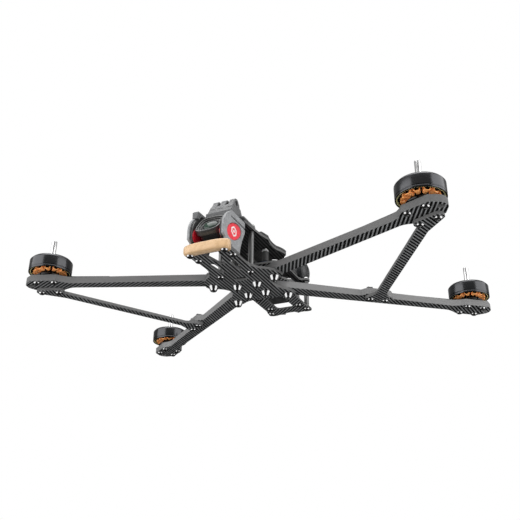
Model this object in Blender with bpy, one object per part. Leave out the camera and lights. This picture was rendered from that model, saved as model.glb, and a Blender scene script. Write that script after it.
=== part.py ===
"""Eight-inch carbon FPV drone: sandwich body, four solid arms, two side braces, four outrunner motors and a
tilting nose camera.

Frame: the nose points along -Y, the drone's left is +X, up is +Z.  The origin is the centre of the belly plate's
underside.  Lengths are written in millimetres and turned into metres by MM.  A place on the body is written
(side, ahead), with ahead counted forward, so ahead = -Y.
"""

import math

import bmesh
import bpy
from mathutils import Matrix, Vector
from mathutils.geometry import delaunay_2d_cdt

MM = 0.001
GAP = 0.3  # clearance between pieces that touch
LEFT = 1
RIGHT = -1

# The stack of plates, from the belly up
BELLY_THICK = 2.5
ARM_THICK = 6.4
MID_THICK = 2.0
DECK_THICK = 2.5
PAD_THICK = 2.0
BRACE_THICK = 3.0
BAY_HEIGHT = 28.0  # from the middle plate to the deck
PAD_FRONT = 24.0  # the pad's front edge, behind the camera cap's tongue

ARM_Z = BELLY_THICK + GAP
MID_Z = ARM_Z + ARM_THICK + GAP
MID_TOP = MID_Z + MID_THICK
DECK_Z = MID_TOP + BAY_HEIGHT
DECK_TOP = DECK_Z + DECK_THICK
PAD_Z = DECK_TOP + GAP
PAD_TOP = PAD_Z + PAD_THICK
BRACE_Z = ARM_Z - GAP - BRACE_THICK

# Where the four arms are bolted and where their motors sit, as (side, ahead) of the left-hand arm
FRONT_BOLT = (9.8, 11.6)
FRONT_MOTOR = (173.5, 75.2)
REAR_BOLT = (8.8, -9.9)
REAR_MOTOR = (173.5, -140.4)
BOLT_SPACING = 21.7  # inner to outer bolt, along the arm

# Fasteners
M5_HOLE = 2.8
M5_SHANK = 2.5
M5_HEAD = 4.7
M5_HEAD_HIGH = 5.0
M3_HOLE = 1.7
M5_SOCKET = 1.5
M5_SOCKET_DEEP = 2.2

# Arms
MOUNT_HALF = 11.9  # half width of the motor seat
MOUNT_NOSE = 21.5  # from the motor axis to the arm's tip
MOTOR_HOLES = 8.0  # half of the 16 x 16 mm pattern
BRACE_OFFSET = 8.5  # brace screws, off the rear arm's middle line
BRACE_SCREWS = (100.2, 114.8)  # and their places along it

# Motors
BELL_RADIUS = 19.6
BELL_WALL = 1.1
BELL_LIP = 14.7
BELL_TOP = 28.4
SHAFT_RADIUS = 2.5
SHAFT_TOP = 48.8
MOTOR_FOOT = MID_Z  # the motor stands on the arm's upper face
STATOR_RADIUS = 17.0
TEETH = 12

POD = (-99.0, 55.6, 12.8)  # barrel over the tail: (ahead, up, radius)

# Screws through the belly plate
CAGE_SCREW = (16.2, 72.9)
FRONT_STANDOFF = (14.6, 35.4)
REAR_STANDOFF = (19.4, -89.0)
STACK_HALF = 15.25  # half of the 30.5 x 30.5 mm pattern
BAY_CENTRE = -60.7  # where the rear pattern's middle is
STACK_CENTRE = -9.0  # and the boards' one
BOARD_THICK = 1.6
ESC_Z = 14.6
FC_Z = 20.0

# Nose camera
CAMERA_PIVOT = (74.4, 17.9)  # (ahead, up)
CAMERA_TILT = math.radians(36)
CAGE_INNER = 12.8
CAGE_OUTER = 17.0
WINDOW_CENTRE = (73.1, 21.2)
WINDOW_HALF = (14.5, 7.6)
WINDOW_SLANT = math.radians(-28)


# ---------------------------------------------------------------- materials

def material(name, colour, roughness, metallic=0.0):
    made = bpy.data.materials.get(name)
    if made:
        return made
    made = bpy.data.materials.new(name)
    made.use_nodes = True
    shader = made.node_tree.nodes["Principled BSDF"]
    shader.inputs["Base Color"].default_value = (*colour, 1)
    shader.inputs["Roughness"].default_value = roughness
    shader.inputs["Metallic"].default_value = metallic
    return made


CARBON = material("carbon_plate", (0.035, 0.036, 0.038), 0.42)
ARM_CARBON = material("carbon_arm", (0.05, 0.052, 0.054), 0.45)
STEEL = material("black_steel", (0.03, 0.03, 0.03), 0.25, 1.0)
BELL_METAL = material("grey_anodised", (0.11, 0.115, 0.12), 0.35, 1.0)
BASE_METAL = material("black_anodised", (0.04, 0.04, 0.045), 0.4, 1.0)
COPPER = material("copper_winding", (0.75, 0.3, 0.12), 0.35, 1.0)
MAGNET = material("magnet_ring", (0.35, 0.36, 0.25), 0.4, 1.0)
SHAFT_METAL = material("bright_steel", (0.65, 0.65, 0.66), 0.25, 1.0)
TAN_TPU = material("tan_tpu", (0.72, 0.55, 0.36), 0.6)
GREY_TPU = material("grey_tpu", (0.22, 0.225, 0.235), 0.65)
RUBBER = material("grey_rubber", (0.12, 0.12, 0.125), 0.8)
BLACK_PLASTIC = material("black_plastic", (0.02, 0.021, 0.023), 0.35)
GLASS = material("lens_glass", (0.04, 0.06, 0.055), 0.06)
RED = material("red_insert", (0.75, 0.03, 0.06), 0.45)
BOARD = material("circuit_board", (0.02, 0.03, 0.05), 0.5)
HEATSINK = material("heatsink", (0.3, 0.3, 0.31), 0.4, 1.0)


# ---------------------------------------------------------------- outlines, as lists of (side, ahead)

def circle(centre, radius, count=12):
    turn = 2 * math.pi / count
    return [
        (centre[0] + radius * math.cos(turn * (i + 0.5)), centre[1] + radius * math.sin(turn * (i + 0.5)))
        for i in range(count)
    ]


def arc(centre, radius, start, end, count=6):
    """Points from start to end, in degrees, both included."""
    points = []
    for i in range(count + 1):
        angle = math.radians(start + (end - start) * i / count)
        points.append((centre[0] + radius * math.cos(angle), centre[1] + radius * math.sin(angle)))
    return points


def bend(start, pull, end, count=5):
    """A quadratic curve from start to end that leans towards pull."""
    points = []
    for i in range(count + 1):
        t = i / count
        points.append(tuple(
            (1 - t) ** 2 * a + 2 * t * (1 - t) * b + t * t * c for a, b, c in zip(start, pull, end)
        ))
    return points


def ellipse(centre, half, slant, count=24):
    points = []
    for i in range(count):
        angle = 2 * math.pi * i / count
        u = half[0] * math.cos(angle)
        v = half[1] * math.sin(angle)
        points.append((
            centre[0] + u * math.cos(slant) - v * math.sin(slant),
            centre[1] + u * math.sin(slant) + v * math.cos(slant),
        ))
    return points


def rounded(corners, radius, count=3):
    """The polygon with every corner rounded by the same radius."""
    points = []
    for i, corner in enumerate(corners):
        here = Vector(corner)
        back = (Vector(corners[i - 1]) - here).normalized()
        onward = (Vector(corners[(i + 1) % len(corners)]) - here).normalized()
        half_angle = back.angle(onward) / 2
        reach = radius / math.tan(half_angle)
        points += bend(tuple(here + back * reach), corner, tuple(here + onward * reach), count)
    return points


def both_sides(half):
    """A half outline that runs from nose to tail on the left, closed by its mirror image."""
    return half + [(-side, ahead) for side, ahead in reversed(half)]


def mirrored_holes(places, radius):
    return [circle((hand * side, ahead), radius) for side, ahead in places for hand in (LEFT, RIGHT)]


def slot(start, end, radius):
    """A straight slot with round ends."""
    heading = math.degrees(math.atan2(end[1] - start[1], end[0] - start[0]))
    return arc(end, radius, heading - 90, heading + 90) + arc(start, radius, heading + 90, heading + 270)


# ---------------------------------------------------------------- solids

def finish(name, mesh, metal, place=(0, 0, 0), turn=None, parent=None):
    """Make the node, with place given as (x, y, z) in millimetres."""
    made = bpy.data.objects.new(name, mesh)
    bpy.context.scene.collection.objects.link(made)
    made.location = Vector(place) * MM
    if turn:
        made.rotation_euler = turn
    if parent:
        made.parent = parent
    if metal:
        mesh.materials.clear()
        mesh.materials.append(metal)
    return made


def encloses(loop, point):
    """Whether the point lies inside the closed loop."""
    inside = False
    for (x0, y0), (x1, y1) in zip(loop, loop[1:] + loop[:1]):
        if (y0 > point.y) != (y1 > point.y) and point.x < x0 + (point.y - y0) * (x1 - x0) / (y1 - y0):
            inside = not inside
    return inside


def prism_mesh(name, outline, holes, low, high):
    """A plate with the given outline and through holes between two heights, in the outline's own plane."""
    loops = [outline] + list(holes)
    flat = []
    edges = []
    for loop in loops:
        first = len(flat)
        flat += [Vector(point) for point in loop]
        edges += [(first + i, first + (i + 1) % len(loop)) for i in range(len(loop))]
    points, _, faces, _, _, _ = delaunay_2d_cdt(flat, edges, [], 1, 1e-5)
    centres = [sum((points[i] for i in face), Vector((0, 0))) / len(face) for face in faces]
    faces = [
        face for face, centre in zip(faces, centres) if not any(encloses(hole, centre) for hole in holes)
    ]
    shape = bmesh.new()
    bottom = [shape.verts.new((p.x * MM, p.y * MM, low * MM)) for p in points]
    top = [shape.verts.new((p.x * MM, p.y * MM, high * MM)) for p in points]
    for face in faces:
        shape.faces.new([top[i] for i in face])
        shape.faces.new([bottom[i] for i in reversed(face)])
    shape.edges.ensure_lookup_table()
    rim = [edge for edge in shape.edges if len(edge.link_faces) == 1 and edge.verts[0] in set(bottom)]
    partner = dict(zip(bottom, top))
    for edge in rim:
        a, b = edge.verts
        shape.faces.new((a, b, partner[b], partner[a]))
    bmesh.ops.recalc_face_normals(shape, faces=shape.faces)
    mesh = bpy.data.meshes.new(name)
    shape.to_mesh(mesh)
    shape.free()
    return mesh


def plate(name, outline, holes, low, high, metal):
    """A flat plate on the body: the outline is (side, ahead), so ahead becomes -Y."""
    flipped = [(x, -y) for x, y in outline]
    flipped_holes = [[(x, -y) for x, y in hole] for hole in holes]
    return finish(name, prism_mesh(name, flipped, flipped_holes, low, high), metal)


def upright(name, outline, holes, inner, outer, metal):
    """A plate standing along the body: the outline is (ahead, up) and it spans inner to outer along X."""
    mesh = prism_mesh(name, outline, holes, min(inner, outer), max(inner, outer))
    # the outline's first axis becomes -Y, its second +Z and the thickness +X
    mesh.transform(Matrix(((0, 0, 1, 0), (-1, 0, 0, 0), (0, 1, 0, 0), (0, 0, 0, 1))))
    shape = bmesh.new()
    shape.from_mesh(mesh)
    bmesh.ops.recalc_face_normals(shape, faces=shape.faces)
    shape.to_mesh(mesh)
    shape.free()
    return finish(name, mesh, metal)


def turned_mesh(name, profile, count, closed=False):
    """Spin (radius, height) points about Z; an open profile starts and ends on the axis."""
    shape = bmesh.new()
    rings = []
    for radius, height in profile:
        if radius == 0:
            rings.append([shape.verts.new((0, 0, height * MM))])
            continue
        ring = []
        for i in range(count):
            angle = 2 * math.pi * i / count
            ring.append(shape.verts.new((
                radius * math.cos(angle) * MM, radius * math.sin(angle) * MM, height * MM,
            )))
        rings.append(ring)
    pairs = list(zip(rings, rings[1:]))
    if closed:
        pairs.append((rings[-1], rings[0]))
    for lower, upper in pairs:
        for i in range(count):
            j = (i + 1) % count
            if len(lower) == 1:
                shape.faces.new((lower[0], upper[j], upper[i]))
            elif len(upper) == 1:
                shape.faces.new((lower[i], lower[j], upper[0]))
            else:
                shape.faces.new((lower[i], lower[j], upper[j], upper[i]))
    bmesh.ops.recalc_face_normals(shape, faces=shape.faces)
    mesh = bpy.data.meshes.new(name)
    shape.to_mesh(mesh)
    shape.free()
    mesh.shade_smooth()
    mesh.set_sharp_from_angle(angle=math.radians(35))
    return mesh


def cutter(made):
    made.hide_render = True
    made.display_type = "WIRE"
    return made


def combine(body, tool, operation):
    step = body.modifiers.new(tool.name, "BOOLEAN")
    step.operation = operation
    step.object = cutter(tool)
    step.solver = "EXACT"


# ---------------------------------------------------------------- the body

def belly_outline():
    half = bend((7.5, 90.8), (14.5, 90), (19, 83.2), 4)
    half += [(20, 80.5), (20, 68.5), (18.6, 67), (18.4, 56)]
    half += bend((18.4, 56), (18.8, 47), (23.5, 40), 4)[1:]
    half += bend((23.5, 40), (37.2, 30.5), (37.5, 19.7), 7)[1:]
    half += arc((30, 19.7), 7.5, 0, -60, 4)[1:]
    half += bend((33.75, 13.2), (22.5, 9.5), (21.2, 1.5), 4)[1:]
    half += [(22.2, -4.2)]
    half += arc((25.4, -23.5), 7.3, 35, -110, 8)
    half += bend((22.9, -30.4), (17, -25.9), (12, -25.9), 3)[1:]
    return both_sides(half)


def clamp_bolts():
    """(side, ahead) of the four M5 bolts on the left."""
    places = []
    for inner, motor in ((FRONT_BOLT, FRONT_MOTOR), (REAR_BOLT, REAR_MOTOR)):
        along = (Vector(motor) - Vector(inner)).normalized()
        places.append(inner)
        places.append(tuple(Vector(inner) + along * BOLT_SPACING))
    return places


def belly_plate():
    holes = mirrored_holes(clamp_bolts(), M5_HOLE)
    holes += mirrored_holes((CAGE_SCREW, FRONT_STANDOFF), M3_HOLE)
    holes.append(rounded([(7.6, 84), (2.3, 59.5), (-2.3, 59.5), (-7.6, 84)], 1.6))
    for hand in (LEFT, RIGHT):
        holes.append(slot((hand * 9.8, 60), (hand * 8.2, 45.5), 2.6))
    holes.append(ellipse((0, 24.4), (6.2, 3.4), 0, 16))
    return plate("belly_plate", belly_outline(), holes, 0, BELLY_THICK, CARBON)


def middle_plate():
    half = [(17, 28)]
    half += arc((30, 19.7), 7.2, 95, -60, 7)
    half += [(21.5, 3)]
    half += arc((25.4, -23.5), 7.0, 40, -70, 6)
    half += [(21.5, -38), (21.5, -79)]
    half += bend((21.5, -79), (21.6, -83), (22.9, -86), 3)[1:]
    half += arc((19.9, -93.6), 3, 0, -90, 4)
    half += bend((17, -97), (12, -94.5), (8, -97), 3)
    half += bend((7, -97), (5.5, -93), (3, -93), 3)
    holes = mirrored_holes(clamp_bolts(), M5_HOLE)
    holes.append(circle((REAR_STANDOFF[0], REAR_STANDOFF[1]), M3_HOLE))
    holes.append(circle((-REAR_STANDOFF[0], REAR_STANDOFF[1]), M3_HOLE))
    for centre in (BAY_CENTRE, STACK_CENTRE):
        corners = [(STACK_HALF, centre + STACK_HALF), (STACK_HALF, centre - STACK_HALF)]
        holes += mirrored_holes(corners, M3_HOLE)
    holes.append(rounded([(9, -50), (9, -81), (-9, -81), (-9, -50)], 4))
    return plate("middle_plate", both_sides(half), holes, MID_Z, MID_TOP, CARBON)


def wing_outline():
    """The left edge that the deck and its pad share, from the front standoff back to the tail's waist."""
    half = bend((17.9, 35.4), (18.4, 28), (21.8, 14), 4)
    half += bend((21.8, 14), (18.6, 2), (20.6, -8.5), 5)[1:]
    half += bend((20.6, -8.5), (24.6, -16), (24.4, -22.5), 4)[1:]
    half += bend((24.4, -22.5), (16, -30), (14.6, -45), 4)
    return half


def deck_plate():
    half = [(16.9, 54.5)] + wing_outline() + [(14.6, -80)]
    half += bend((14.6, -80), (15.6, -85.2), (19.4, -85.4), 3)[1:]
    half += arc(REAR_STANDOFF, 3.6, 60, -90, 5)
    half += bend((14, -93.5), (8, -90), (2, -90), 3)
    holes = mirrored_holes((FRONT_STANDOFF, REAR_STANDOFF), M3_HOLE)
    holes.append(rounded([(9.5, -3), (9.5, -46), (-9.5, -46), (-9.5, -3)], 4))
    holes.append(rounded([(7.5, -58), (7.5, -74), (-7.5, -74), (-7.5, -58)], 4))
    return plate("deck_plate", both_sides(half), holes, DECK_Z, DECK_TOP, CARBON)


def battery_pad():
    half = [(19.2, PAD_FRONT)]
    half += [place for place in wing_outline() if place[1] < PAD_FRONT]
    half.append((14.6, -76))
    return plate("battery_pad", both_sides(half), [], PAD_Z, PAD_TOP, RUBBER)


# ---------------------------------------------------------------- arms and braces

def along_arm(inner, motor, hand):
    """A function from (along, across) on an arm to (side, ahead); across is positive towards the nose."""
    start = Vector((inner[0] * hand, inner[1]))
    tip = Vector((motor[0] * hand, motor[1]))
    axis = (tip - start).normalized()
    across = Vector((-axis.y, axis.x)) * hand
    return lambda u, v: tuple(start + axis * u + across * v)


def arm_outline(length, root_half, tip_half, boss):
    """One edge of an arm from root to tip, then back along the other edge."""
    seat = length - 10.2
    nose = [(length + 12.7, MOUNT_HALF), (length + 19.0, 5.4)]
    nose += bend((length + 19.0, 5.4), (length + MOUNT_NOSE + 0.6, 0), (length + 19.0, -5.4), 4)[1:]
    nose += [(length + 12.7, -MOUNT_HALF)]

    def edge(sign, boss_here):
        points = [(24, root_half * sign)]
        if boss_here:
            points += [(92, 6.9 * sign)]
            points += bend((92, 6.9 * sign), (95, 13.1 * sign), (100.3, 13.1 * sign), 3)[1:]
            points += bend((114.8, 13.1 * sign), (120, 13.1 * sign), (124, 6.4 * sign), 3)
        points += [(length - 24, tip_half * sign)]
        points += bend((length - 24, tip_half * sign), (length - 19, tip_half * sign),
                       (seat, MOUNT_HALF * sign), 3)[1:]
        return points

    outline = edge(1, boss)
    outline += nose
    outline += list(reversed(edge(-1, False)))
    outline += arc((0, 0), 6.3, 260, 100, 6)
    return outline


def arm(name, inner, motor, hand, root_half, tip_half, boss):
    place = along_arm(inner, motor, hand)
    length = (Vector(motor) - Vector(inner)).length
    outline = [place(u, v) for u, v in arm_outline(length, root_half, tip_half, boss)]
    holes = [circle(place(u, 0), M5_HOLE) for u in (0, BOLT_SPACING)]
    for u in (-MOTOR_HOLES, MOTOR_HOLES):
        for v in (-MOTOR_HOLES, MOTOR_HOLES):
            holes.append(circle(place(length + u, v), M3_HOLE, 8))
    holes.append(circle(place(length + 15.6, 0), 2.9))
    if boss:
        for u in BRACE_SCREWS:
            holes.append(circle(place(u, BRACE_OFFSET), M3_HOLE, 8))
    return plate(name, outline, holes, ARM_Z, ARM_Z + ARM_THICK, ARM_CARBON)


def brace(name, hand):
    """From two of the front motor's screws back to the boss on the rear arm."""
    front = along_arm(FRONT_BOLT, FRONT_MOTOR, hand)
    rear = along_arm(REAR_BOLT, REAR_MOTOR, hand)
    front_length = (Vector(FRONT_MOTOR) - Vector(FRONT_BOLT)).length
    heads = [Vector(front(front_length + u, -MOTOR_HOLES)) for u in (-MOTOR_HOLES, MOTOR_HOLES)]
    tails = [Vector(rear(u, BRACE_OFFSET)) for u in BRACE_SCREWS]
    start = (heads[0] + heads[1]) / 2
    end = (tails[0] + tails[1]) / 2
    axis = (end - start).normalized()
    side = Vector((axis.y, -axis.x)) * hand
    half = 4.7
    cap = 4.9
    out = (heads[1] - heads[0]).normalized()
    back = (tails[1] - tails[0]).normalized()
    fore = Vector((-out.y, out.x)) * hand

    def round_end(centre, first, second, count=4):
        """Three quarters of a disc about a screw, from one heading round to another."""
        a = math.atan2(first.y, first.x)
        b = math.atan2(second.y, second.x)
        if hand * (b - a) > 0:
            b -= hand * 2 * math.pi
        return [
            (centre.x + cap * math.cos(a + (b - a) * i / count), centre.y + cap * math.sin(a + (b - a) * i / count))
            for i in range(count + 1)
        ]

    points = round_end(heads[0], (-fore - out).normalized(), fore, 5)
    points += round_end(heads[1], fore, (-fore + out).normalized(), 5)
    inner = [tuple(start + axis * 17 + out_side * half) for out_side in (side, -side)]
    inner_end = [tuple(end - axis * 15 + out_side * half) for out_side in (side, -side)]
    near = min(inner, key=lambda p: (Vector(p) - heads[1]).length)
    far = max(inner, key=lambda p: (Vector(p) - heads[1]).length)
    near_end = min(inner_end, key=lambda p: (Vector(p) - tails[1]).length)
    far_end = max(inner_end, key=lambda p: (Vector(p) - tails[1]).length)
    rearward = Vector((-back.y, back.x)) * -hand
    points += [near, near_end]
    points += round_end(tails[1], (back - rearward * 0.6).normalized(), rearward, 5)
    points += round_end(tails[0], rearward, (-back - rearward * 0.6).normalized(), 5)
    points += [far_end, far]
    holes = [circle(tuple(spot), M3_HOLE, 8) for spot in heads + tails]
    return plate(name, points, holes, BRACE_Z, BRACE_Z + BRACE_THICK, ARM_CARBON)


def clamp_bolt_mesh():
    """A tall tapered M5 head below the plates with its shank up through them; the origin is at the head's seat."""
    seat = -0.05
    profile = [
        (0, seat - M5_HEAD_HIGH + M5_SOCKET_DEEP),
        (M5_SOCKET, seat - M5_HEAD_HIGH + M5_SOCKET_DEEP),
        (M5_SOCKET, seat - M5_HEAD_HIGH),
        (2.5, seat - M5_HEAD_HIGH),
        (3.3, seat - 4.3),
        (4.1, seat - 2.6),
        (4.6, seat - 1.2),
        (M5_HEAD, seat - GAP),
        (M5_SHANK, seat - GAP + 0.05),
        (M5_SHANK, MID_TOP + 1.8),
        (M5_SHANK - 0.6, MID_TOP + 2.4),
        (0, MID_TOP + 2.4),
    ]
    return turned_mesh("clamp_bolt", profile, 12)


# ---------------------------------------------------------------- motors

def motor_base_mesh():
    profile = [
        (3.0, 0), (13.0, 0), (14.6, 0.8), (14.6, 2.0), (13.4, 2.8), (5.4, 2.8), (4.6, 3.4), (4.6, 14.6), (3.0, 14.6),
    ]
    return turned_mesh("motor_base", profile, 20, closed=True)


def stator_mesh():
    """Twelve wound teeth about the bearing tube; each height has the same ring of corners."""
    # (height, slot radius, tooth radius, share of the pitch that the tooth takes)
    levels = [
        (4.3, 7.2, 13.8, 0.48),
        (5.6, 7.2, 15.4, 0.62),
        (6.2, 7.2, STATOR_RADIUS, 0.84),
        (11.8, 7.2, STATOR_RADIUS, 0.84),
        (12.4, 7.2, 15.4, 0.62),
        (13.8, 7.2, 13.8, 0.48),
    ]
    pitch = 2 * math.pi / TEETH
    shape = bmesh.new()
    outer = []
    inner = []
    for height, slot_radius, tooth_radius, share in levels:
        ring = []
        for i in range(TEETH):
            middle = i * pitch
            half = pitch * share / 2
            slot_half = pitch / 2 - 0.06
            for angle, radius in (
                (-slot_half, slot_radius), (-half, tooth_radius), (half, tooth_radius), (slot_half, slot_radius),
            ):
                ring.append(shape.verts.new((
                    radius * math.cos(middle + angle) * MM, radius * math.sin(middle + angle) * MM, height * MM,
                )))
        outer.append(ring)
    for height in (levels[0][0], levels[-1][0]):
        inner.append([
            shape.verts.new((5.0 * math.cos(v * math.pi / 12) * MM, 5.0 * math.sin(v * math.pi / 12) * MM, height * MM))
            for v in range(24)
        ])
    count = len(outer[0])
    for lower, upper in zip(outer, outer[1:]):
        for i in range(count):
            j = (i + 1) % count
            shape.faces.new((lower[i], lower[j], upper[j], upper[i]))
    for i in range(24):
        j = (i + 1) % 24
        shape.faces.new((inner[0][j], inner[0][i], inner[1][i], inner[1][j]))
    for ring, hub in ((outer[0], inner[0]), (outer[-1], inner[1])):
        edges = [shape.edges.get((ring[i], ring[(i + 1) % count])) for i in range(count)]
        edges += [shape.edges.get((hub[i], hub[(i + 1) % 24])) for i in range(24)]
        bmesh.ops.triangle_fill(shape, use_beauty=True, edges=edges)
    bmesh.ops.recalc_face_normals(shape, faces=shape.faces)
    mesh = bpy.data.meshes.new("stator")
    shape.to_mesh(mesh)
    shape.free()
    return mesh


def bell_mesh():
    """The rotor can, open below; heights are above the arm."""
    lip = BELL_LIP - MOTOR_FOOT
    top = BELL_TOP - MOTOR_FOOT
    inside = BELL_RADIUS - BELL_WALL
    profile = [
        (inside, lip),
        (BELL_RADIUS - 0.3, lip),
        (BELL_RADIUS, lip + 0.3),
        (BELL_RADIUS, top - 2.4),
        (BELL_RADIUS - 1.9, top - 0.3),
        (15.4, top),
        (5.2, top),
        (4.6, top + 1.2),
        (2.8, top + 1.2),
        (2.8, top - 2.2),
        (inside - 2.0, top - 2.2),
        (inside, top - 3.2),
    ]
    return turned_mesh("rotor_bell", profile, 32, closed=True)


def magnet_mesh():
    lip = BELL_LIP - MOTOR_FOOT
    profile = [(17.35, lip + 0.5), (18.2, lip + 0.5), (18.2, lip + 9.0), (17.35, lip + 9.0)]
    return turned_mesh("magnet_ring", profile, 24, closed=True)


def shaft_mesh():
    top = SHAFT_TOP - MOTOR_FOOT
    profile = [(0, 1.0), (2.2, 1.0), (SHAFT_RADIUS, 1.4), (SHAFT_RADIUS, top - 0.7), (1.8, top), (0, top)]
    return turned_mesh("prop_shaft", profile, 16)


def motors():
    base = motor_base_mesh()
    stator = stator_mesh()
    bell = bell_mesh()
    magnets = magnet_mesh()
    shaft = shaft_mesh()
    for end, (side, ahead) in (("front", FRONT_MOTOR), ("rear", REAR_MOTOR)):
        for hand, word in ((LEFT, "left"), (RIGHT, "right")):
            place = (side * hand, -ahead, MOTOR_FOOT)
            where = f"{end}_{word}"
            finish(f"motor_base_{where}", base, BASE_METAL, place)
            finish(f"stator_{where}", stator, COPPER, place)
            rotor = bpy.data.objects.new(f"rotor_axis_{where}", None)
            bpy.context.scene.collection.objects.link(rotor)
            rotor.location = Vector(place) * MM
            finish(f"rotor_bell_{where}", bell, BELL_METAL, parent=rotor)
            finish(f"magnet_ring_{where}", magnets, MAGNET, parent=rotor)
            finish(f"prop_shaft_{where}", shaft, SHAFT_METAL, parent=rotor)


# ---------------------------------------------------------------- standoffs, boards and rear parts

def standoffs():
    """Round spacers under the deck: the front pair stands on the belly plate, the rear pair on the middle plate."""
    for end, (side, ahead), foot in (
        ("front", FRONT_STANDOFF, BELLY_THICK), ("rear", REAR_STANDOFF, MID_TOP),
    ):
        low = foot + GAP
        high = DECK_Z - GAP
        profile = [
            (0, low), (2.2, low), (2.5, low + 0.4), (2.5, high - 0.4), (2.2, high), (0, high),
        ]
        mesh = turned_mesh("standoff_" + end, profile, 16)
        for hand, word in ((LEFT, "left"), (RIGHT, "right")):
            finish(f"standoff_{end}_{word}", mesh, BASE_METAL, (side * hand, -ahead, 0))


def stack_post_mesh():
    """A soft-mount post: sleeves between the boards, thin where it passes through them, and a nut on top."""
    sleeve = 3.2
    screw = 1.5
    profile = [(0, MID_TOP + GAP)]
    for low, high in ((MID_TOP + GAP, ESC_Z - GAP), (ESC_Z + BOARD_THICK + GAP, FC_Z - GAP)):
        profile += [(sleeve, low), (sleeve, high), (screw, high), (screw, high + BOARD_THICK + 2 * GAP)]
    top = FC_Z + BOARD_THICK + GAP
    profile += [(sleeve, top), (sleeve, 31.6), (2.7, 31.9), (2.7, 34.0), (screw, 34.0), (screw, 35.4), (0, 35.4)]
    return turned_mesh("stack_post", profile, 16)


def electronics():
    corners = [(STACK_HALF, STACK_CENTRE + STACK_HALF), (STACK_HALF, STACK_CENTRE - STACK_HALF)]
    ahead = STACK_CENTRE + 18
    behind = STACK_CENTRE - 18
    board = rounded([(18, ahead), (18, behind), (-18, behind), (-18, ahead)], 3)
    plate("esc_board", board, mirrored_holes(corners, 1.9), ESC_Z, ESC_Z + BOARD_THICK, BOARD)
    plate("flight_controller_board", board, mirrored_holes(corners, 1.9), FC_Z, FC_Z + BOARD_THICK, BOARD)
    post = stack_post_mesh()
    for (side, place), end in zip(corners, ("front", "rear")):
        for hand, word in ((LEFT, "left"), (RIGHT, "right")):
            finish(f"stack_post_{end}_{word}", post, BLACK_PLASTIC, (side * hand, -place, 0))
    ahead = BAY_CENTRE + 17
    behind = BAY_CENTRE - 17
    fins = rounded([(17, ahead), (17, behind), (-17, behind), (-17, ahead)], 3)
    plate("video_transmitter", fins, [], 14.5, 22.5, HEATSINK)


def rear_pod():
    """A printed saddle on the deck's tail, in one piece with the round barrel lying across it."""
    ahead, up, radius = POD
    profile = [(0, -18.0), (5.0, -17.6), (9.4, -15.8), (12.0, -12.4), (radius, -8.6), (radius, -3.6), (12.1, -2.8)]
    profile += [(radius_here, -along) for radius_here, along in reversed(profile)]
    mesh = turned_mesh("rear_pod", profile, 24)
    mesh.transform(Matrix.Rotation(math.radians(90), 4, "Y"))
    mesh.transform(Matrix.Translation((0, -ahead * MM, up * MM)))
    body = finish("rear_pod", mesh, BLACK_PLASTIC)
    saddle = [(-77.5, DECK_TOP + GAP), (-92.5, DECK_TOP + GAP), (-104, 47), (-98, up), (-84, 48)]
    combine(body, upright("pod_saddle", saddle, [], -9.5, 9.5, None), "UNION")
    return body


# ---------------------------------------------------------------- nose

def bumper():
    half = bend((8.2, 93.7), (16.5, 92.5), (21.7, 84.6), 6)
    half += [(21.9, 82.2), (17, 82.0)]
    half += bend((17, 82.0), (12, 85.6), (4, 85.6), 4)[1:]
    outline = both_sides(half)
    body = plate("nose_bumper", outline, [], -2.1, 6.6, TAN_TPU)
    room = bend((7.6, 91.2), (14.8, 90.4), (19.4, 83.4), 4) + [(20.4, 80.5), (20.4, 60)]
    combine(body, plate("bumper_pocket", both_sides(room), [], -GAP, 12, None), "DIFFERENCE")
    return body


def cage_side(name, hand):
    """One side of the camera cage: an upright plate with a slanted oval window on a foot that takes the screws."""
    outline = [(63.8, ARM_Z), (57.8, 19.5), (53.2, 28.6), (53.2, 32.0), (79.5, 32.0), (79.5, 33.4), (53.2, 33.4)]
    outline += [(53.2, 38.7), (78.2, 38.7)]
    outline += bend((78.2, 38.7), (93.2, 30.5), (93.0, 18), 5)[1:]
    outline += [(93.0, 11), (88.6, 9.6), (88.6, 7.0), (85.0, 7.0), (85.0, ARM_Z)]
    window = ellipse(WINDOW_CENTRE, WINDOW_HALF, WINDOW_SLANT)
    side = upright(name, outline, [window], hand * CAGE_INNER, hand * CAGE_OUTER, GREY_TPU)
    foot = rounded([(hand * 14, 66.5), (hand * 19.6, 66.5), (hand * 19.6, 81.5), (hand * 14, 81.5)], 1.5)
    screw_holes = [circle((hand * CAGE_SCREW[0], CAGE_SCREW[1]), 1.3, 8)]
    combine(side, plate(name + "_foot", foot, screw_holes, ARM_Z, 5.4, None), "UNION")
    return side


def window_insert(name, hand):
    shrunk = (WINDOW_HALF[0] - GAP, WINDOW_HALF[1] - GAP)
    outline = ellipse(WINDOW_CENTRE, shrunk, WINDOW_SLANT)
    return upright(name, outline, [], hand * 12.5, hand * 16.6, RED)


def top_mount():
    """The cap over the camera, with a tongue back over the deck and three knuckles for an action camera."""
    roof = rounded([(11.8, 54.9), (11.8, 78.5), (-11.8, 78.5), (-11.8, 54.9)], 1.0)
    body = plate("top_mount", roof, [], 39.2, PAD_TOP, GREY_TPU)
    tongue = rounded([(17.4, 31.5), (17.4, 57), (-17.4, 57), (-17.4, 31.5)], 1.2)
    combine(body, plate("mount_tongue", tongue, [], PAD_Z, PAD_TOP - 0.1, None), "UNION")
    hump = [(44, 43.5), (48, 50), (51, 54.5), (66, 54.5), (76.5, 43.5)]
    combine(body, upright("mount_hump", hump, [], -11.3, 11.3, None), "UNION")
    lobe = [(50, 50), (52.6, 59)] + arc((57.8, 57.4), 4.6, 165, 10, 5) + [(68, 50)]
    for i, side in enumerate((-8.1, 0, 8.1)):
        combine(body, upright(f"lobe_{i}", lobe, [], side - 2.9, side + 2.9, None), "UNION")
    return body


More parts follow.
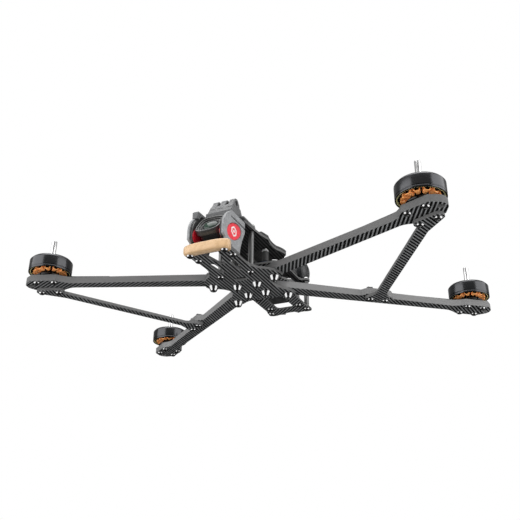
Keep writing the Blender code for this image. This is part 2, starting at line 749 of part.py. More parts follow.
def camera():
    """Everything that tilts with the lens, on an empty that sits on the tilt axis."""
    ahead, up = CAMERA_PIVOT
    axis = bpy.data.objects.new("camera_axis", None)
    bpy.context.scene.collection.objects.link(axis)
    axis.location = Vector((0, -ahead, up)) * MM
    axis.rotation_euler = (-CAMERA_TILT, 0, 0)

    def block(name, half_side, low, high, back, front, corner, metal):
        """A block along the lens axis, with its rounded outline seen from the front."""
        outline = rounded([(half_side, low), (half_side, high), (-half_side, high), (-half_side, low)], corner, 4)
        mesh = prism_mesh(name, outline, [], back, front)
        mesh.transform(Matrix.Rotation(math.radians(90), 4, "X"))
        return finish(name, mesh, metal, parent=axis)

    block("camera_housing", 11.4, -9.6, 9.6, -8.8, 9.0, 3.0, BLACK_PLASTIC)
    hood = block("lens_hood", 11.9, -12.2, 12.2, 9.3, 13.6, 6.5, BLACK_PLASTIC)
    well = block("hood_well", 8.7, -8.7, 8.7, 11.0, 16.0, 4.5, None)
    combine(hood, well, "DIFFERENCE")
    dome = [(0, 11.3), (8.3, 11.3), (8.3, 12.4), (7.0, 13.6), (4.0, 14.5), (0, 14.9)]
    lens = turned_mesh("lens_glass", dome, 24)
    lens.transform(Matrix.Rotation(math.radians(90), 4, "X"))
    finish("lens_glass", lens, GLASS, parent=axis)


def main():
    for old in list(bpy.data.objects):
        bpy.data.objects.remove(old, do_unlink=True)
    belly_plate()
    middle_plate()
    deck_plate()
    battery_pad()
    for hand, word in ((LEFT, "left"), (RIGHT, "right")):
        arm(f"arm_front_{word}", FRONT_BOLT, FRONT_MOTOR, hand, 6.9, 5.1, False)
        arm(f"arm_rear_{word}", REAR_BOLT, REAR_MOTOR, hand, 7.9, 5.7, True)
        brace(f"brace_{word}", hand)
        cage_side(f"cage_{word}", hand)
        window_insert(f"window_insert_{word}", hand)
    bolt = clamp_bolt_mesh()
    for (side, ahead), which in zip(clamp_bolts(), ("front_inner", "front_outer", "rear_inner", "rear_outer")):
        for hand, word in ((LEFT, "left"), (RIGHT, "right")):
            finish(f"clamp_bolt_{which}_{word}", bolt, STEEL, (side * hand, -ahead, 0))
    motors()
    standoffs()
    electronics()
    rear_pod()
    bumper()
    top_mount()
    camera()


main()
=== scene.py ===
"""The finished look of the eight-inch FPV drone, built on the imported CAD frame.

The nose points along -Y, the drone's left is +X and up is +Z.  Lengths are written in millimetres and turned
into metres by MM.  A place on the body is written (side, ahead), with ahead counted forward, so ahead = -Y.
"""

import math

import bmesh
import bpy
from mathutils import Matrix, Vector
from mathutils.geometry import delaunay_2d_cdt


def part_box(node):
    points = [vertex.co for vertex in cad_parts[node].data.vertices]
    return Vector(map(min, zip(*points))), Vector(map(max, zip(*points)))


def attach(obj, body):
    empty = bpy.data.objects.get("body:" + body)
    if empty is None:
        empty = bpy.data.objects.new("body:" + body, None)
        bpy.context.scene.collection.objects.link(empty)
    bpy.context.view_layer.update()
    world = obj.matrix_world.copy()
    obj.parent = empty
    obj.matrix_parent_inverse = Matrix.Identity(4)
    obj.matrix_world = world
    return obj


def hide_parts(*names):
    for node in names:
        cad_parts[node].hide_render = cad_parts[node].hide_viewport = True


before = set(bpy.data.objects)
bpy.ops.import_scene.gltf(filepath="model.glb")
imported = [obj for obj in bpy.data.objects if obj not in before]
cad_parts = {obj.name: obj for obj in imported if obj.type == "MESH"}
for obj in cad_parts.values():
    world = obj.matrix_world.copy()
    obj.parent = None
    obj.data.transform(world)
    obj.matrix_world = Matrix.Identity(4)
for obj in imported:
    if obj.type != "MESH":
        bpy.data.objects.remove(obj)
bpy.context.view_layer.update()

MM = 0.001
LEFT = 1
RIGHT = -1
HANDS = ((LEFT, "left"), (RIGHT, "right"))


def heights(node):
    """The low and high ends of a CAD node, so that every piece sits where the CAD has it."""
    low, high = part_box(node)
    return low.z / MM, high.z / MM


BELLY_Z, BELLY_TOP = heights("belly_plate")
MID_Z, MID_TOP = heights("middle_plate")
DECK_Z, DECK_TOP = heights("deck_plate")
PAD_Z, PAD_TOP = heights("battery_pad")
ARM_Z, ARM_TOP = heights("arm_front_left")
BRACE_Z = heights("brace_left")[0]
BOLT_TIP = heights("clamp_bolt_front_inner_left")[0]
SHAFT_TOP = heights("prop_shaft_front_left")[1]
BELL_LIP, HUB_TOP = heights("rotor_bell_front_left")
ESC_Z, ESC_TOP = heights("esc_board")
FC_Z, FC_TOP = heights("flight_controller_board")
VTX_Z, VTX_TOP = heights("video_transmitter")
BUMPER_Z, BUMPER_TOP = heights("nose_bumper")

# the same plan as the CAD
FRONT_BOLT = (9.8, 11.6)
FRONT_MOTOR = (173.5, 75.2)
REAR_BOLT = (8.8, -9.9)
REAR_MOTOR = (173.5, -140.4)
BOLT_SPACING = 21.7
MOUNT_HALF = 11.9
MOUNT_NOSE = 21.5
MOTOR_HOLES = 8.0
BRACE_OFFSET = 8.5
BRACE_SCREWS = (100.2, 114.8)
CAGE_SCREW = (16.2, 72.9)
BUMPER_SCREW = (15.8, 88.0)
FRONT_STANDOFF = (14.6, 35.4)
REAR_STANDOFF = (19.4, -89.0)
STACK_HALF = 15.25
BAY_CENTRE = -60.7
STACK_CENTRE = -9.0
CAMERA_PIVOT = (74.4, 17.9)
CAMERA_TILT = math.radians(36)
CAGE_INNER = 12.8
CAGE_OUTER = 17.0
# the printed side starts here; inside it the black lining, a dark sheet that paints the shade inside the
# cage, takes up the rest of the cage's thickness
PANEL_INNER = 14.9
WINDOW_CENTRE = (73.1, 21.2)
WINDOW_HALF = (14.5, 7.6)
WINDOW_SLANT = math.radians(-28)
LOBE_HOLE = (57.8, 57.4)
M3_HOLE = 1.7
M5_HOLE = 2.7
POD = (-99.0, 55.6, 12.8)
MOTOR_FOOT = MID_Z
BELL_RADIUS = 19.6
TEETH = 12
# the widths of the finest details of the materials
TOW = 1.1
PLY = 0.3
PRINT_LAYER = 0.24


# ---------------------------------------------------------------- node trees

class Paint:
    """A material's node tree, built by short calls that each return an output socket."""

    def __init__(self, name, roughness=0.5, metallic=0.0, coat=0.0, sheen=0.0):
        self.material = bpy.data.materials.new(name)
        self.material.use_nodes = True
        self.tree = self.material.node_tree
        self.shader = self.tree.nodes["Principled BSDF"]
        self.shader.inputs["Roughness"].default_value = roughness
        self.shader.inputs["Metallic"].default_value = metallic
        self.shader.inputs["Coat Weight"].default_value = coat
        self.shader.inputs["Coat Roughness"].default_value = 0.12
        self.shader.inputs["Sheen Weight"].default_value = sheen
        self.space = self.tree.nodes.new("ShaderNodeTexCoord")

    def node(self, kind, *values, **settings):
        made = self.tree.nodes.new(kind)
        for key, value in settings.items():
            setattr(made, key, value)
        for i, value in enumerate(values):
            self.feed(made.inputs[i], value)
        return made

    def feed(self, socket, value):
        if value is None:
            return
        if isinstance(value, bpy.types.NodeSocket):
            self.tree.links.new(value, socket)
        else:
            socket.default_value = value

    def math(self, operation, a, b=None):
        return self.node("ShaderNodeMath", a, b, operation=operation).outputs[0]

    def plus(self, a, b):
        return self.math("ADD", a, b)

    def minus(self, a, b):
        return self.math("SUBTRACT", a, b)

    def times(self, a, b):
        return self.math("MULTIPLY", a, b)

    def weighed(self, first, first_share, second, second_share):
        return self.plus(self.times(first, first_share), self.times(second, second_share))

    def squared(self, value, middle):
        """The square of the distance from middle."""
        away = self.minus(value, middle)
        return self.times(away, away)

    def off_centre(self, value):
        """The distance of a repeating coordinate from the middle of its cell."""
        return self.math("ABSOLUTE", self.minus(self.math("FRACT", value), 0.5))

    def place(self):
        return self.space.outputs["Object"]

    def parts(self, vector):
        split = self.node("ShaderNodeSeparateXYZ", vector)
        return split.outputs[0], split.outputs[1], split.outputs[2]

    def height(self):
        return self.parts(self.place())[2]

    def stretched(self, scale, turn=0.0):
        """The object's own coordinates, turned about Z and then scaled along each turned axis."""
        turned = self.node("ShaderNodeMapping", self.place())
        turned.inputs["Rotation"].default_value = (0, 0, turn)
        return self.node("ShaderNodeVectorMath", turned.outputs[0], scale, operation="MULTIPLY").outputs[0]

    def cells(self, size, turn=0.0):
        """The two level coordinates, counted in cells of this size in millimetres."""
        return self.parts(self.stretched((1 / (size * MM),) * 3, turn))[:2]

    def noise(self, scale, detail=3.0, vector=None):
        made = self.node("ShaderNodeTexNoise")
        self.feed(made.inputs["Vector"], vector or self.place())
        made.inputs["Scale"].default_value = scale
        made.inputs["Detail"].default_value = detail
        made.inputs["Roughness"].default_value = 0.55
        return made.outputs["Fac"]

    def mix(self, factor, first, second):
        made = self.node("ShaderNodeMix", data_type="RGBA")
        self.feed(made.inputs[0], factor)
        self.feed(made.inputs[6], first)
        self.feed(made.inputs[7], second)
        return made.outputs[2]

    def span(self, value, low=0.3, high=0.7, out_low=0.0, out_high=1.0):
        made = self.node("ShaderNodeMapRange", value, low, high, out_low, out_high)
        made.clamp = True
        return made.outputs[0]

    def colour(self, socket):
        self.tree.links.new(socket, self.shader.inputs["Base Color"])

    def roughness(self, socket):
        self.tree.links.new(socket, self.shader.inputs["Roughness"])

    def bump(self, height, depth, strength=1.0):
        """Depth is the height in metres that a value of 1 stands for."""
        made = self.node("ShaderNodeBump")
        made.inputs["Strength"].default_value = strength
        made.inputs["Distance"].default_value = depth
        self.tree.links.new(height, made.inputs["Height"])
        self.tree.links.new(made.outputs[0], self.shader.inputs["Normal"])


def grey(value, tint=(1, 1, 1)):
    return (value * tint[0], value * tint[1], value * tint[2], 1)


def carbon(name, turn, edge_tone, lit_tow_tone=0.38):
    """Twill-woven laminate: two-over-two tows on the faces, with painted light and shade on them, and fine
    plies along the cut edges.
    """
    p = Paint(name, 0.4)
    p.shader.inputs["Specular IOR Level"].default_value = 0.12
    u, v = p.cells(TOW, turn)
    cells = p.math("FLOORED_MODULO", p.minus(p.math("FLOOR", u), p.math("FLOOR", v)), 4.0)
    warp = p.math("LESS_THAN", cells, 1.5)
    weft = p.minus(1.0, warp)
    inside_u = p.math("FRACT", u)
    inside_v = p.math("FRACT", v)
    # a tow is high along its middle line and dips at its sides and where it dives under the next one; the
    # same dips paint shade into the colour and leave a painted highlight in the middle of each float
    sides = p.weighed(p.squared(inside_u, 0.5), warp, p.squared(inside_v, 0.5), weft)
    along_warp = p.plus(p.minus(1.0, cells), inside_v)
    along_weft = p.plus(p.minus(cells, 2.0), inside_u)
    ends = p.weighed(p.squared(along_warp, 1.0), warp, p.squared(along_weft, 1.0), weft)
    dip_and_shade = p.weighed(sides, 1.6, ends, 0.85)
    fibres_warp = p.noise(1.0, 2.0, p.stretched((9000, 500, 500), turn))
    fibres_weft = p.noise(1.0, 2.0, p.stretched((500, 9000, 500), turn))
    worn = p.noise(60.0, 2.0)
    warp_tone = p.times(p.span(fibres_warp, 0.25, 0.75, 0.7, 1.15), p.span(worn, 0.3, 0.7, 0.85, 1.1))
    # painted light: the warp tows are painted as lit and the weft tows as shaded, though both are the same
    # fibre
    light = p.mix(warp_tone, grey(0.02), grey(lit_tow_tone, (0.98, 1.0, 1.02)))
    dark = p.mix(fibres_weft, grey(0.0015), grey(0.007))
    # painted shade darkens the dips at the sides and ends of the tows
    face = p.mix(p.span(dip_and_shade, 0.12, 0.7, 0.0, 0.95), p.mix(warp, dark, light), grey(0.002))
    # the cut edge shows its plies as thin level lines with dust in them
    ply = p.math("FRACT", p.times(p.height(), 1 / (PLY * MM)))
    streak = p.noise(1.0, 3.0, p.stretched((260, 260, 5200)))
    edge_mix = p.weighed(p.span(ply, 0.0, 0.35), 0.35, streak, 0.65)
    cut = p.mix(edge_mix, grey(edge_tone * 0.62), grey(edge_tone * 1.28))
    facing = p.parts(p.space.outputs["Normal"])[2]
    flat = p.span(p.math("ABSOLUTE", facing), 0.55, 0.8)
    p.colour(p.mix(flat, cut, face))
    p.roughness(p.span(flat, 0.0, 1.0, 0.62, 0.42))
    relief = p.times(p.minus(1.0, dip_and_shade), flat)
    fine = p.times(streak, p.minus(0.3, p.times(flat, 0.3)))
    p.bump(p.plus(p.times(relief, 0.4), fine), 0.00008, 0.5)
    return p.material


def metal(name, tone, roughness, tint=(1, 1, 1), grain=(200, 200, 200), wear=0.25):
    """Anodised, plated or oxidised metal with a fine grain and slight handling marks."""
    p = Paint(name, roughness, 1.0)
    grain_value = p.noise(1.0, 4.0, p.stretched(grain))
    mixed = p.weighed(grain_value, 0.6, p.noise(120.0), 0.4)
    p.colour(p.mix(mixed, grey(tone * (1 - wear), tint), grey(tone * (1 + wear), tint)))
    p.roughness(p.span(mixed, 0.3, 0.7, roughness * 0.8, min(1.0, roughness * 1.25)))
    p.bump(grain_value, 0.00001, 0.4)
    return p.material


def printed(name, low, high, roughness=0.5, sheen=0.2):
    """Printed flexible plastic: fine level layers and a slight mottling."""
    p = Paint(name, roughness, sheen=sheen)
    wobble = p.times(p.noise(90.0, 2.0), 0.0006)
    phase = p.times(p.plus(p.height(), wobble), 2 * math.pi / (PRINT_LAYER * MM))
    mottle = p.noise(240.0, 4.0)
    p.colour(p.mix(p.span(mottle), low, high))
    p.roughness(p.span(mottle, 0.3, 0.7, roughness * 0.85, roughness * 1.15))
    p.bump(p.plus(p.times(p.math("SINE", phase), 0.5), mottle), 0.00003, 0.45)
    return p.material


def moulded(name, tone, roughness, tint=(1, 1, 1), coat=0.0):
    """Moulded plastic or rubber with a fine spark-eroded grain."""
    p = Paint(name, roughness, coat=coat)
    cloud = p.noise(70.0)
    p.colour(p.mix(cloud, grey(tone * 0.75, tint), grey(tone * 1.3, tint)))
    p.roughness(p.span(cloud, 0.3, 0.7, roughness * 0.85, min(1.0, roughness * 1.2)))
    p.bump(p.noise(1800.0, 2.0), 0.00002, 0.35)
    return p.material


def knobbly_rubber(name):
    """The battery pad: a grid of small raised pyramids on the flat, with painted shade in the grooves between
    them, and a plain side.
    """
    p = Paint(name, 0.8)
    u, v = p.cells(2.6, math.pi / 4)
    ridge = p.math("MAXIMUM", p.off_centre(u), p.off_centre(v))
    dust = p.noise(150.0, 4.0)
    # painted shade: darker where the pyramids meet, lighter on their tops
    top = p.mix(p.span(ridge, 0.3, 0.48), grey(0.045), grey(0.018))
    p.colour(p.mix(p.span(dust, 0.45, 0.8, 0.0, 0.5), top, grey(0.09)))
    p.bump(p.plus(p.minus(0.5, ridge), p.times(dust, 0.15)), 0.0004, 0.7)
    return p.material


def enamelled_copper(name):
    p = Paint(name, 0.3, 0.25, coat=0.8)
    strands = p.noise(700.0)
    p.colour(p.mix(p.span(strands), (0.95, 0.29, 0.06, 1), (1.0, 0.5, 0.17, 1)))
    p.roughness(p.span(strands, 0.3, 0.7, 0.25, 0.42))
    p.bump(strands, 0.00004, 0.3)
    return p.material


def plated_magnet(name):
    p = Paint(name, 0.4, 0.3)
    stains = p.noise(260.0, 4.0)
    p.colour(p.mix(p.span(stains, 0.25, 0.75), (0.5, 0.5, 0.18, 1), (0.9, 0.87, 0.55, 1)))
    p.bump(stains, 0.00003, 0.3)
    return p.material


def solder_mask(name):
    """A dark board with traces that show through the mask."""
    p = Paint(name, 0.38, coat=0.3)
    u, v = p.cells(1.7)
    lane = p.math("LESS_THAN", p.off_centre(u), 0.16)
    rung = p.math("LESS_THAN", p.off_centre(v), 0.12)
    in_lanes = p.math("GREATER_THAN", p.noise(190.0, 0.0), 0.5)
    trace = p.math("MAXIMUM", p.times(lane, in_lanes), p.times(rung, p.minus(1.0, in_lanes)))
    p.colour(p.mix(trace, (0.006, 0.011, 0.02, 1), (0.02, 0.045, 0.075, 1)))
    p.bump(trace, 0.00004, 0.4)
    return p.material


def coated_glass(name):
    """Dark glass with a green and violet bloom that changes across the lens."""
    p = Paint(name, 0.09)
    x, _, z = p.parts(p.place())
    radius = p.math("SQRT", p.plus(p.times(x, x), p.times(z, z)))
    ring = p.span(radius, 0.0005, 0.0085)
    bloom = p.mix(ring, (0.012, 0.03, 0.02, 1), (0.035, 0.06, 0.045, 1))
    p.colour(p.mix(p.span(p.noise(160.0, 1.0), 0.4, 0.7, 0.0, 0.5), bloom, (0.05, 0.02, 0.045, 1)))
    p.shader.inputs["Specular IOR Level"].default_value = 0.35
    return p.material


def red_plastic(name):
    p = Paint(name, 0.33, coat=0.5)
    cloud = p.noise(320.0)
    p.colour(p.mix(p.span(cloud), (0.62, 0.006, 0.02, 1), (0.86, 0.03, 0.055, 1)))
    p.bump(cloud, 0.00003, 0.3)
    return p.material


BELLY_CARBON = carbon("woven_belly", -math.pi / 4, 0.1)
MID_CARBON = carbon("woven_middle", math.pi / 2, 0.1)
# painted shade: the deck's weave is painted much darker than the other plates', for the shade under the deck
SHADED_DECK_CARBON = carbon("woven_deck", -math.pi / 4, 0.11, lit_tow_tone=0.09)
STEEL = metal("black_nickel_steel", 0.42, 0.14, wear=0.2)
ZINC = metal("bright_nut", 0.85, 0.3)
BELL_METAL = metal("gunmetal_anodised", 0.07, 0.2, (0.97, 0.98, 1.03), (30, 30, 2600))
BASE_METAL = metal("black_anodised", 0.05, 0.38)
STANDOFF_METAL = metal("grey_anodised", 0.17, 0.42, grain=(60, 60, 2400))
SHAFT_METAL = metal("ground_steel", 0.95, 0.15, grain=(60, 60, 3000), wear=0.04)
CORE = metal("stator_core", 0.035, 0.45, (1.05, 1, 0.85))
COPPER = enamelled_copper("enamelled_copper")
MAGNET = plated_magnet("plated_magnet")
TAN = printed("tan_printed", (0.52, 0.335, 0.175, 1), (0.585, 0.385, 0.21, 1), 0.28)
GREY_PRINT = printed("grey_printed", (0.17, 0.174, 0.18, 1), (0.25, 0.256, 0.264, 1))
CAP_PRINT = printed("cap_printed", (0.05, 0.051, 0.053, 1), (0.09, 0.092, 0.095, 1))
POD_PRINT = printed("pod_printed", (0.010, 0.0105, 0.0115, 1), (0.024, 0.025, 0.027, 1), 0.24, 0.0)
PAD = knobbly_rubber("battery_pad_rubber")
BLACK = moulded("black_moulded", 0.016, 0.36)
HOOD = moulded("hood_moulded", 0.028, 0.3, coat=0.2)
RUBBER = moulded("black_rubber", 0.02, 0.62)
BOARD = solder_mask("board_mask")
CHIP = moulded("chip_epoxy", 0.012, 0.4)
TIN = metal("tinned_pads", 0.6, 0.3)
NYLON = moulded("connector_nylon", 0.6, 0.45, (1.0, 0.95, 0.85))
HEATSINK = metal("bead_blasted", 0.3, 0.45)
GLASS = coated_glass("coated_glass")
RED = red_plastic("red_plastic")
PALE = moulded("pale_plastic", 0.72, 0.35, (1.0, 0.94, 0.92))


# ---------------------------------------------------------------- outlines, as lists of (side, ahead)

def polar(radius, angle, centre=(0, 0)):
    return (centre[0] + radius * math.cos(angle), centre[1] + radius * math.sin(angle))


def circle(centre, radius, count=36):
    turn = 2 * math.pi / count
    return [polar(radius, turn * i, centre) for i in range(count)]


def arc(centre, radius, start, end, count=16):
    """Points from start to end, in degrees, both included."""
    return [polar(radius, math.radians(start + (end - start) * i / count), centre) for i in range(count + 1)]


def bend(start, pull, end, count=12):
    """A quadratic curve from start to end that leans towards pull."""
    points = []
    for i in range(count + 1):
        t = i / count
        points.append(tuple(
            (1 - t) ** 2 * a + 2 * t * (1 - t) * b + t * t * c for a, b, c in zip(start, pull, end)
        ))
    return points


def ellipse(centre, half, slant, count=56):
    points = []
    for i in range(count):
        angle = 2 * math.pi * i / count
        u = half[0] * math.cos(angle)
        v = half[1] * math.sin(angle)
        points.append((
            centre[0] + u * math.cos(slant) - v * math.sin(slant),
            centre[1] + u * math.sin(slant) + v * math.cos(slant),
        ))
    return points


def rounded(polygon, radius, count=7):
    """The polygon with every corner rounded by the same radius."""
    points = []
    for i, corner in enumerate(polygon):
        here = Vector(corner)
        back = (Vector(polygon[i - 1]) - here).normalized()
        onward = (Vector(polygon[(i + 1) % len(polygon)]) - here).normalized()
        reach = radius / math.tan(back.angle(onward) / 2)
        points += bend(tuple(here + back * reach), corner, tuple(here + onward * reach), count)
    return points


def box_outline(side, ahead, half_side, half_ahead, radius):
    left, right = side + half_side, side - half_side
    front, rear = ahead + half_ahead, ahead - half_ahead
    return rounded([(left, front), (left, rear), (right, rear), (right, front)], radius, 3)


def level_slab(half_side, front, rear, radius):
    """A rounded rectangle across the body's middle line."""
    return rounded([(half_side, front), (half_side, rear), (-half_side, rear), (-half_side, front)], radius)


def both_sides(half):
    """A half outline that runs from nose to tail on the left, closed by its mirror image."""
    return half + [(-side, ahead) for side, ahead in reversed(half)]


def mirrored(places):
    return [(hand * side, ahead) for side, ahead in places for hand in (LEFT, RIGHT)]


def square(centre):
    """The two left holes of the board pattern about this middle."""
    return [(STACK_HALF, centre + STACK_HALF), (STACK_HALF, centre - STACK_HALF)]


def mirrored_holes(places, radius):
    return [circle(place, radius) for place in mirrored(places)]


def slot_outline(start, end, radius):
    """A straight slot with round ends."""
    heading = math.degrees(math.atan2(end[1] - start[1], end[0] - start[0]))
    return arc(end, radius, heading - 90, heading + 90) + arc(start, radius, heading + 90, heading + 270)


# ---------------------------------------------------------------- meshes

def signed_area(loop):
    return sum(x0 * y1 - x1 * y0 for (x0, y0), (x1, y1) in zip(loop, loop[1:] + loop[:1])) / 2


def distinct(loop):
    """The loop without repeated points."""
    kept = []
    for point in loop:
        if not kept or (Vector(point) - Vector(kept[-1])).length > 0.01:
            kept.append(tuple(point))
    if (Vector(kept[0]) - Vector(kept[-1])).length <= 0.01:
        kept.pop()
    return kept


def skin(shape, lower, upper):
    """Four-sided faces between two rings of the same count."""
    for i in range(len(lower)):
        j = (i + 1) % len(lower)
        shape.faces.new((lower[i], lower[j], upper[j], upper[i]))


def neighbours(rings, closed):
    """Each ring with the next one, and the last with the first where the row of rings is closed."""
    pairs = list(zip(rings, rings[1:]))
    if closed:
        pairs.append((rings[-1], rings[0]))
    return pairs


def drawn_in(loop, distance):
    """The loop moved to its left by distance, corner by corner."""
    moved = []
    for i, point in enumerate(loop):
        here = Vector(point)
        first = (here - Vector(loop[i - 1])).normalized()
        second = (Vector(loop[(i + 1) % len(loop)]) - here).normalized()
        normal = Vector((-first.y - second.y, first.x + second.x))
        if normal.length < 1e-6:
            normal = Vector((-first.y, first.x))
        normal.normalize()
        stretch = max(0.55, normal.dot(Vector((-first.y, first.x))))
        moved.append(tuple(here + normal * (distance / stretch)))
    return moved


def encloses(loop, point):
    """Whether the point lies inside the closed loop."""
    inside = False
    for (x0, y0), (x1, y1) in zip(loop, loop[1:] + loop[:1]):
        if (y0 > point.y) != (y1 > point.y) and point.x < x0 + (point.y - y0) * (x1 - x0) / (y1 - y0):
            inside = not inside
    return inside


def prism(outline, holes, low, high, edge=0.25, steps=2):
    """A plate between two heights whose every rim is rounded off by edge, or by less in a tight corner."""
    loops = []
    for index, loop in enumerate([outline] + list(holes)):
        loop = distinct(loop)
        if (signed_area(loop) > 0) != (index == 0):
            loop.reverse()
        loops.append(loop)
    levels = []
    for i in range(steps + 1):
        turn = math.pi / 2 * i / steps
        levels.append((edge * (1 - math.sin(turn)), low + edge * (1 - math.cos(turn))))
    levels += [(inset, high + low - height) for inset, height in reversed(levels)]
    shape = bmesh.new()
    rims = []
    for loop in loops:
        rings = []
        for inset, height in levels:
            drawn = drawn_in(loop, inset) if inset > 1e-9 else loop
            rings.append([shape.verts.new((x * MM, y * MM, height * MM)) for x, y in drawn])
        for lower, upper in neighbours(rings, False):
            skin(shape, lower, upper)
        rims.append(rings)
    flat = []
    edges = []
    end_loops = []
    for rings in rims:
        first = len(flat)
        drawn = [Vector((v.co.x / MM, v.co.y / MM)) for v in rings[0]]
        end_loops.append([tuple(point) for point in drawn])
        flat += drawn
        edges += [(first + i, first + (i + 1) % len(drawn)) for i in range(len(drawn))]
    points, _, faces, _, _, _ = delaunay_2d_cdt(flat, edges, [], 1, 1e-5)
    for end, flip in ((0, True), (-1, False)):
        ring_verts = [vert for rings in rims for vert in rings[end]]
        if len(points) != len(ring_verts):
            # a tight corner crosses itself at this rounding, so round the rim off less
            shape.free()
            return prism(outline, holes, low, high, edge / 2, steps)
        for face in faces:
            middle = sum((points[i] for i in face), Vector((0, 0))) / len(face)
            if any(encloses(hole, middle) for hole in end_loops[1:]):
                continue
            face_verts = [ring_verts[i] for i in face]
            shape.faces.new(list(reversed(face_verts)) if flip else face_verts)
    return shape


def lathe(profile, count=48, closed=False):
    """Spin (radius, height) points about Z; an open profile starts and ends on the axis."""
    shape = bmesh.new()
    rings = []
    for radius, height in profile:
        if radius == 0:
            rings.append([shape.verts.new((0, 0, height * MM))])
            continue
        spots = [polar(radius, 2 * math.pi * i / count) for i in range(count)]
        rings.append([shape.verts.new((x * MM, y * MM, height * MM)) for x, y in spots])
    for lower, upper in neighbours(rings, closed):
        if len(lower) == len(upper):
            if len(lower) > 1:
                skin(shape, lower, upper)
            continue
        for i in range(count):
            j = (i + 1) % count
            if len(lower) == 1:
                shape.faces.new((lower[0], upper[j], upper[i]))
            else:
                shape.faces.new((lower[i], lower[j], upper[0]))
    bmesh.ops.recalc_face_normals(shape, faces=shape.faces)
    return shape


def softened(profile, radius, steps=3):
    """A lathe profile with its inner corners rounded."""
    points = [profile[0]]
    for back, here, onward in zip(profile, profile[1:], profile[2:]):
        here_v = Vector(here)
        to_back = Vector(back) - here_v
        to_onward = Vector(onward) - here_v
        reach = min(radius, to_back.length * 0.45, to_onward.length * 0.45)
        first = here_v + to_back.normalized() * reach
        last = here_v + to_onward.normalized() * reach
        points += bend(tuple(first), here, tuple(last), steps)
    points.append(profile[-1])
    return points


def wire_loop(path, radius, sides):
    """A round wire along a closed path of points in millimetres."""
    shape = bmesh.new()
    rings = []
    for i, point in enumerate(path):
        here = Vector(point)
        heading = (Vector(path[(i + 1) % len(path)]) - Vector(path[i - 1])).normalized()
        side = heading.orthogonal().normalized()
        if rings:
            side = (last_side - heading * last_side.dot(heading)).normalized()
        last_side = side
        other = heading.cross(side)
        rings.append([
            shape.verts.new((here + (side * math.cos(a) + other * math.sin(a)) * radius) * MM)
            for a in (2 * math.pi * k / sides for k in range(sides))
        ])
    for lower, upper in neighbours(rings, True):
        skin(shape, lower, upper)
    bmesh.ops.recalc_face_normals(shape, faces=shape.faces)
    return shape


def loft(loops):
    """A closed skin over loops of (x, y, z) points in millimetres, all with the same count."""
    shape = bmesh.new()
    rings = [[shape.verts.new(Vector(point) * MM) for point in loop] for loop in loops]
    for lower, upper in neighbours(rings, False):
        skin(shape, lower, upper)
    shape.faces.new(list(reversed(rings[0])))
    shape.faces.new(rings[-1])
    bmesh.ops.recalc_face_normals(shape, faces=shape.faces)
    return shape


def gather(*shapes):
    """Several bmesh shapes as one."""
    whole = bmesh.new()
    for shape in shapes:
        step = bpy.data.meshes.new("step")
        shape.to_mesh(step)
        shape.free()
        whole.from_mesh(step)
        bpy.data.meshes.remove(step)
    return whole


def baked(name, shape, paint, turn=None, smooth=40):
    """The shape as a mesh with its material, moved by turn first."""
    if turn is not None:
        bmesh.ops.transform(shape, matrix=turn, verts=shape.verts)
    mesh = bpy.data.meshes.new(name)
    shape.to_mesh(mesh)
    shape.free()
    mesh.materials.append(paint)
    mesh.shade_smooth()
    mesh.set_sharp_from_angle(angle=math.radians(smooth))
    return mesh


def put(name, data):
    """A new object in the scene."""
    made = bpy.data.objects.new(name, data)
    bpy.context.scene.collection.objects.link(made)
    return made


def piece(name, mesh, body, replaces=(), slot=None, place=None, weighted=False):
    """A piece that rides on the body; place is a matrix, or (x, y, z) in millimetres."""
    made = put(name, mesh)
    if isinstance(place, Matrix):
        made.matrix_world = place
    elif place is not None:
        made.location = Vector(place) * MM
    if weighted:
        even = made.modifiers.new("even_normals", "WEIGHTED_NORMAL")
        even.keep_sharp = True
        even.weight = 80
    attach(made, body)
    if replaces:
        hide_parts(*replaces)


def carve(target, tool):
    """The first mesh with the second cut out of it."""
    body = put("carve_body", target)
    cutter = put("carve_tool", tool)
    step = body.modifiers.new("cut", "BOOLEAN")
    step.operation = "DIFFERENCE"
    step.object = cutter
    step.solver = "EXACT"
    result = bpy.data.meshes.new_from_object(body.evaluated_get(bpy.context.evaluated_depsgraph_get()))
    for made in (body, cutter):
        bpy.data.objects.remove(made)
    result.shade_smooth()
    result.set_sharp_from_angle(angle=math.radians(40))
    return result


def flipped(loop):
    """From (side, ahead) to the frame's own (x, y)."""
    return [(x, -y) for x, y in loop]


def plate(node, name, outline, holes, paint, slot, edge=0.25):
    """The piece that stands for a flat CAD node, between that node's own heights."""
    shape = prism(flipped(outline), [flipped(hole) for hole in holes], *heights(node), edge)
    piece(name, baked(name, shape, paint, smooth=60), "frame", (node,), slot, weighted=True)


UPRIGHT = Matrix(((0, 0, 1, 0), (-1, 0, 0, 0), (0, 1, 0, 0), (0, 0, 0, 1)))


def stood_up(shape):
    """Turn a shape drawn as (ahead, up, side) into the frame, and its faces outwards again."""
    bmesh.ops.transform(shape, matrix=UPRIGHT, verts=shape.verts)
    bmesh.ops.recalc_face_normals(shape, faces=shape.faces)
    return shape


def upright_mesh(name, outline, holes, inner, outer, paint, edge=0.4):
    """A plate standing along the body: the outline is (ahead, up) and it spans inner to outer along X."""
    shape = stood_up(prism(outline, holes, min(inner, outer), max(inner, outer), edge, 3))
    return baked(name, shape, paint, smooth=60)


def block(side, ahead, half_side, half_ahead, radius, low, high, edge):
    """A level block with rounded upright corners."""
    return prism(flipped(box_outline(side, ahead, half_side, half_ahead, radius)), [], low, high, edge)


def all_in(name, shapes, paint, replaces=(), slot=None):
    """Several shapes as one piece on the frame."""
    piece(name, baked(name, gather(*shapes), paint), "frame", replaces, slot)


# ---------------------------------------------------------------- fasteners

def hexagon(flat, count=36):
    """Points round a hexagon whose flats are this far from its middle."""
    points = []
    for i in range(count):
        angle = 2 * math.pi * i / count
        wedge = (angle + math.pi / 6) % (math.pi / 3) - math.pi / 6
        points.append(polar(flat / math.cos(wedge), angle))
    return points


